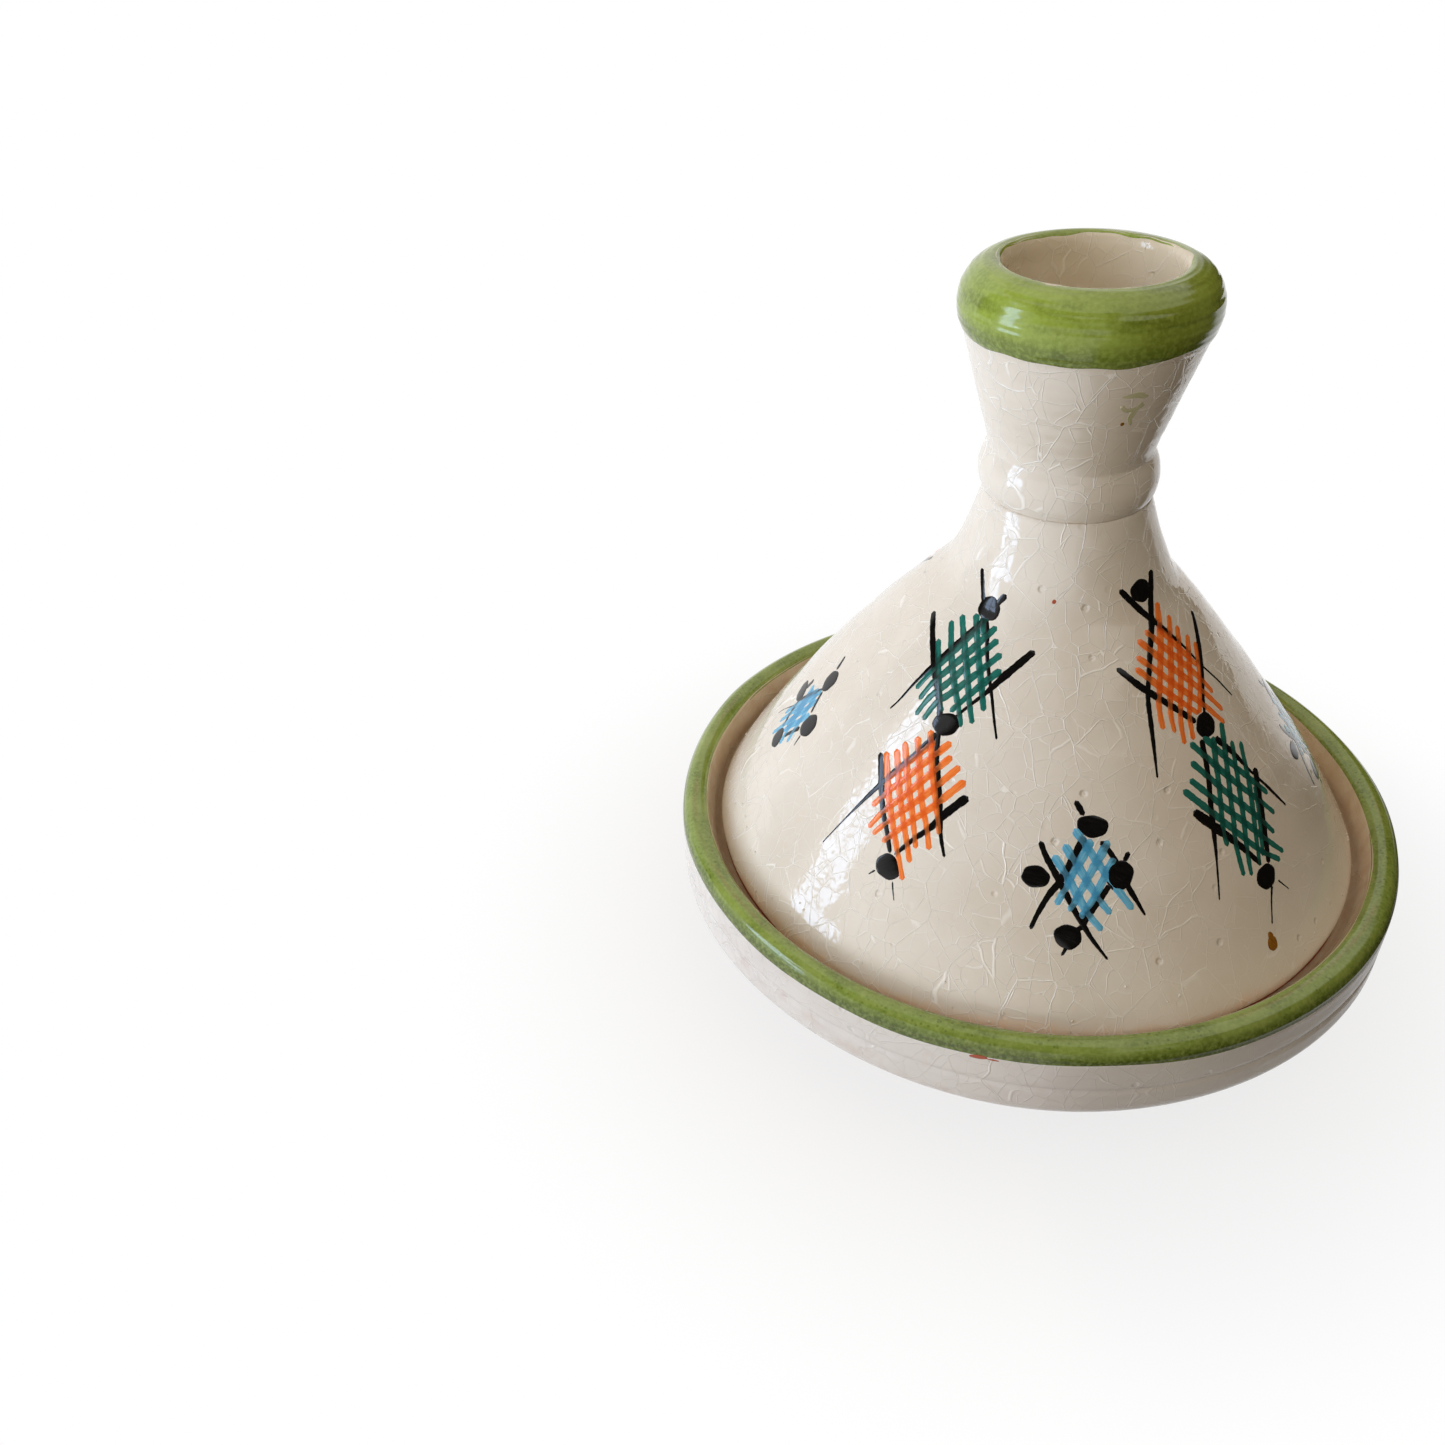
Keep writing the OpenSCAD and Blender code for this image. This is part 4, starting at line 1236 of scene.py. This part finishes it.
# %% One piece for each colour
def paint_pieces(lots, prefix, body):
    """One mesh for each colour, gathered from its strokes."""
    for colour, lot in lots.items():
        marks = {"stroke": np.vstack(lot["stroke"]), "cover": np.vstack(lot["cover"])}
        make_piece("%s_%s_brushwork" % (prefix, colour), np.vstack(lot["points"]), lot["faces"],
                   body, STAINS[colour], (), marks)


paint_pieces(lid_paint, "lid", "lid")
paint_pieces(bowl_paint, "bowl", "dish")

# %% [markdown]
# ## Studio
#
# The pot stands on white paper. The paper takes its soft shadow close to the foot, and away from
# it the camera and the glossy rays see plain white, as they do in the sky. So one small group of
# nodes asks which kind of ray is looking.

# %% Floor
def seen_directly(tree):
    """1 for a camera, glossy or transmission ray, else 0: the largest of the three."""
    rays = add(tree, "LightPath").outputs
    seen = add(tree, "Math", {0: rays["Is Camera Ray"], 1: rays["Is Glossy Ray"]},
               operation="MAXIMUM")
    return add(tree, "Math", {0: seen, 1: rays["Is Transmission Ray"]}, operation="MAXIMUM")


def studio_paper():
    """Diffuse paper near the pot; seen by camera, gloss or glass it fades to white further out."""
    material, tree = new_material("studio_paper")
    place = add(tree, "TexCoord").outputs["Object"]
    distance = add(tree, "VectorMath", {0: place}, operation="LENGTH").outputs["Value"]
    far = add(tree, "MapRange", {0: distance, 1: 0.05, 2: 0.12, 3: 0.80, 4: 1.0},
              interpolation_type="SMOOTHSTEP")
    share = add(tree, "Math", {0: seen_directly(tree), 1: far}, operation="MULTIPLY")
    paper = add(tree, "BsdfDiffuse", {"Color": "#D2CEC8"})
    white = add(tree, "Emission", {"Color": (1, 1, 1, 1), "Strength": 1.0})
    add(tree, "OutputMaterial", {0: add(tree, "MixShader", {0: share, 1: paper, 2: white})})
    return material


FLOOR_HALF, FLOOR_LEFT = 0.95, -0.50
corners = np.array([(FLOOR_LEFT, -FLOOR_HALF, 0), (FLOOR_HALF, -FLOOR_HALF, 0),
                    (FLOOR_HALF, FLOOR_HALF, 0), (FLOOR_LEFT, FLOOR_HALF, 0)])
floor = mesh_object("paper_floor", corners, [(0, 1, 2, 3)], studio_paper(), {})
print("floor: %.2f by %.2f m" % (FLOOR_HALF - FLOOR_LEFT, 2 * FLOOR_HALF))

# %% [markdown]
# A glossy glaze shows the shape of its lights. A window stands to the left and a little in
# front: two tall columns of panes and a third that is only two panes high. It is dim and bluish,
# and its mirror image is the bright streak down the lid. Most of the light comes from two large
# softboxes, one beside the window and one nearer the front.

# %% Window and softboxes
WINDOW_TURN, WINDOW_DISTANCE, WINDOW_LOW = -155.0, 1.2, -0.20
PANE_WIDTH, PANE_HEIGHT, BAR = 0.130, 0.205, 0.022
COLUMNS, ROWS, LOW_ROWS = 3, 5, 2
PANE_RADIANCE = 8.4
DAYLIGHT = (0.52, 0.70, 1.0)
SOFTBOX_SIDE = 0.6


def area_light(name, width, height, radiance, colour, turn_deg, rise_deg, distance, aside=0.0,
               up=0.0):
    """Rectangle of power radiance * pi * area that faces the axis, shifted aside and up."""
    a, e = math.radians(turn_deg), math.radians(rise_deg)
    right = np.array([-math.sin(a), math.cos(a), 0.0])
    back = np.array([math.cos(a) * math.cos(e), math.sin(a) * math.cos(e), math.sin(e)])
    lamp = bpy.data.lights.new(name, "AREA")
    lamp.shape = "RECTANGLE"
    lamp.size, lamp.size_y = width, height
    lamp.energy = radiance * math.pi * width * height
    lamp.color = colour
    lit = bpy.data.objects.new(name, lamp)
    stand(lit, right, np.cross(back, right), back, back * distance + right * aside + (0, 0, up))
    return lit


for column in range(COLUMNS):
    for row in range(LOW_ROWS if column == COLUMNS - 1 else ROWS):
        aside = (column - (COLUMNS - 1) / 2) * (PANE_WIDTH + BAR)
        up = WINDOW_LOW + PANE_HEIGHT / 2 + row * (PANE_HEIGHT + BAR)
        area_light("window_pane_%d_%d" % (column, row), PANE_WIDTH, PANE_HEIGHT, PANE_RADIANCE,
                   DAYLIGHT, WINDOW_TURN, 0.0, WINDOW_DISTANCE, aside, up)
for name, radiance, colour, turn_deg, rise_deg, distance in (
        ("softbox_left", 2.6, (0.84, 0.93, 1.0), -155.0, 10.0, 1.15),
        ("softbox_front", 1.85, (1.0, 0.96, 0.90), -114.0, 30.0, 1.1)):
    softbox = area_light(name, SOFTBOX_SIDE, SOFTBOX_SIDE, radiance, colour, turn_deg, rise_deg,
                         distance)
    softbox.visible_glossy = False  # crossed polarising filters keep it out of the glaze's mirror
print("window: %d panes, and two softboxes" % ((COLUMNS - 1) * ROWS + LOW_ROWS))

# %% [markdown]
# In a studio, dark cards keep a glossy pot from mirroring the white room where it should not.
# Four of them stand here, on the right, behind the camera, on the left and over the window, and
# a dark cloth lies on the right of the table. The camera does not see them, but the glaze does,
# so the black strokes stay black and the right side falls into soft shade.

# %% Dark cards and cloth
CARD_TONE = "#3C3731"
CARD_GRID = 24
SIDE_FADE, END_FADE = 8.0, 0.15  # degrees round the pot, and share of the felt's length


def card_felt():
    """Matt dark felt whose mark 'solid' fades it to nothing towards the edges of the card."""
    material, tree = new_material("dark_card_felt")
    mark = add(tree, "Attribute", attribute_name="solid").outputs["Fac"]
    felt = add(tree, "BsdfDiffuse", {"Color": CARD_TONE})
    clear = add(tree, "BsdfTransparent")
    add(tree, "OutputMaterial", {0: add(tree, "MixShader", {0: mark, 1: clear, 2: felt})})
    return material


felt_finish = card_felt()


def felt_piece(name, turn, radius, height):
    """Felt on a grid from turn, radius and height given at its first and last column and row.

    Its edges fade out, apart from the foot of a card that stands on the table, and the cloth's
    inner edge fades eight times faster, close to the pot."""
    share = np.linspace(0, 1, CARD_GRID)
    a = np.radians(turn[0] + (turn[1] - turn[0]) * share)[None, :]
    r, z = ((ends[0] + (ends[1] - ends[0]) * share)[:, None] for ends in (radius, height))
    faces = [face for number, face in enumerate(grid_faces(CARD_GRID, CARD_GRID, 0, False))
             if number % CARD_GRID < CARD_GRID - 1]
    lies_flat = radius[0] != radius[1]
    first_edge = 8 * share if lies_flat else share + (height[0] == 0)
    across = smooth(0.0, SIDE_FADE / abs(turn[1] - turn[0]), np.minimum(share, 1 - share))
    along = smooth(0.0, END_FADE, np.minimum(first_edge, 1 - share))
    points = round_the_axis(r, z, a).reshape(-1, 3)
    felt = mesh_object(name, points, faces, felt_finish, {"solid": np.outer(along, across).ravel()})
    felt.visible_camera = False
    felt.visible_shadow = not lies_flat


felt_piece("card_on_the_right", (-74, 82), (0.9, 0.9), (0.0, 0.8))
felt_piece("card_behind_camera", (-144, -50), (1.0, 1.0), (0.30, 1.6))
felt_piece("card_on_the_left", (-198, -165), (1.0, 1.0), (0.0, 1.6))
felt_piece("card_over_window", (-182, -134), (1.1, 1.1), (0.96, 1.8))
felt_piece("felt_on_the_table", (-82, 42), (0.058, 0.92), (0.003, 0.003))
print("felt pieces: 5")

# %% [markdown]
# The sky is slightly warm and fills the shadows. It is a little stronger near the horizon than
# overhead, as the light of a room is, and it shows plain white where it is seen directly.

# %% Sky
world = bpy.data.worlds.new("studio_sky")
bpy.context.scene.world = world
world.use_nodes = True
sky = world.node_tree
sky.nodes.clear()
way = add(sky, "SeparateXYZ", {0: add(sky, "TexCoord").outputs["Generated"]})
fall = add(sky, "MapRange", {0: way.outputs[2], 1: 0.15, 2: 0.95, 3: 1.12, 4: 0.80})
fill = add(sky, "Background", {"Color": "#FFEDD4", "Strength": fall})
blank = add(sky, "Background", {"Color": (1, 1, 1, 1), "Strength": 1.0})
both = add(sky, "MixShader", {0: seen_directly(sky), 1: fill, 2: blank})
add(sky, "OutputWorld", {0: both})
print("sky nodes:", len(sky.nodes))
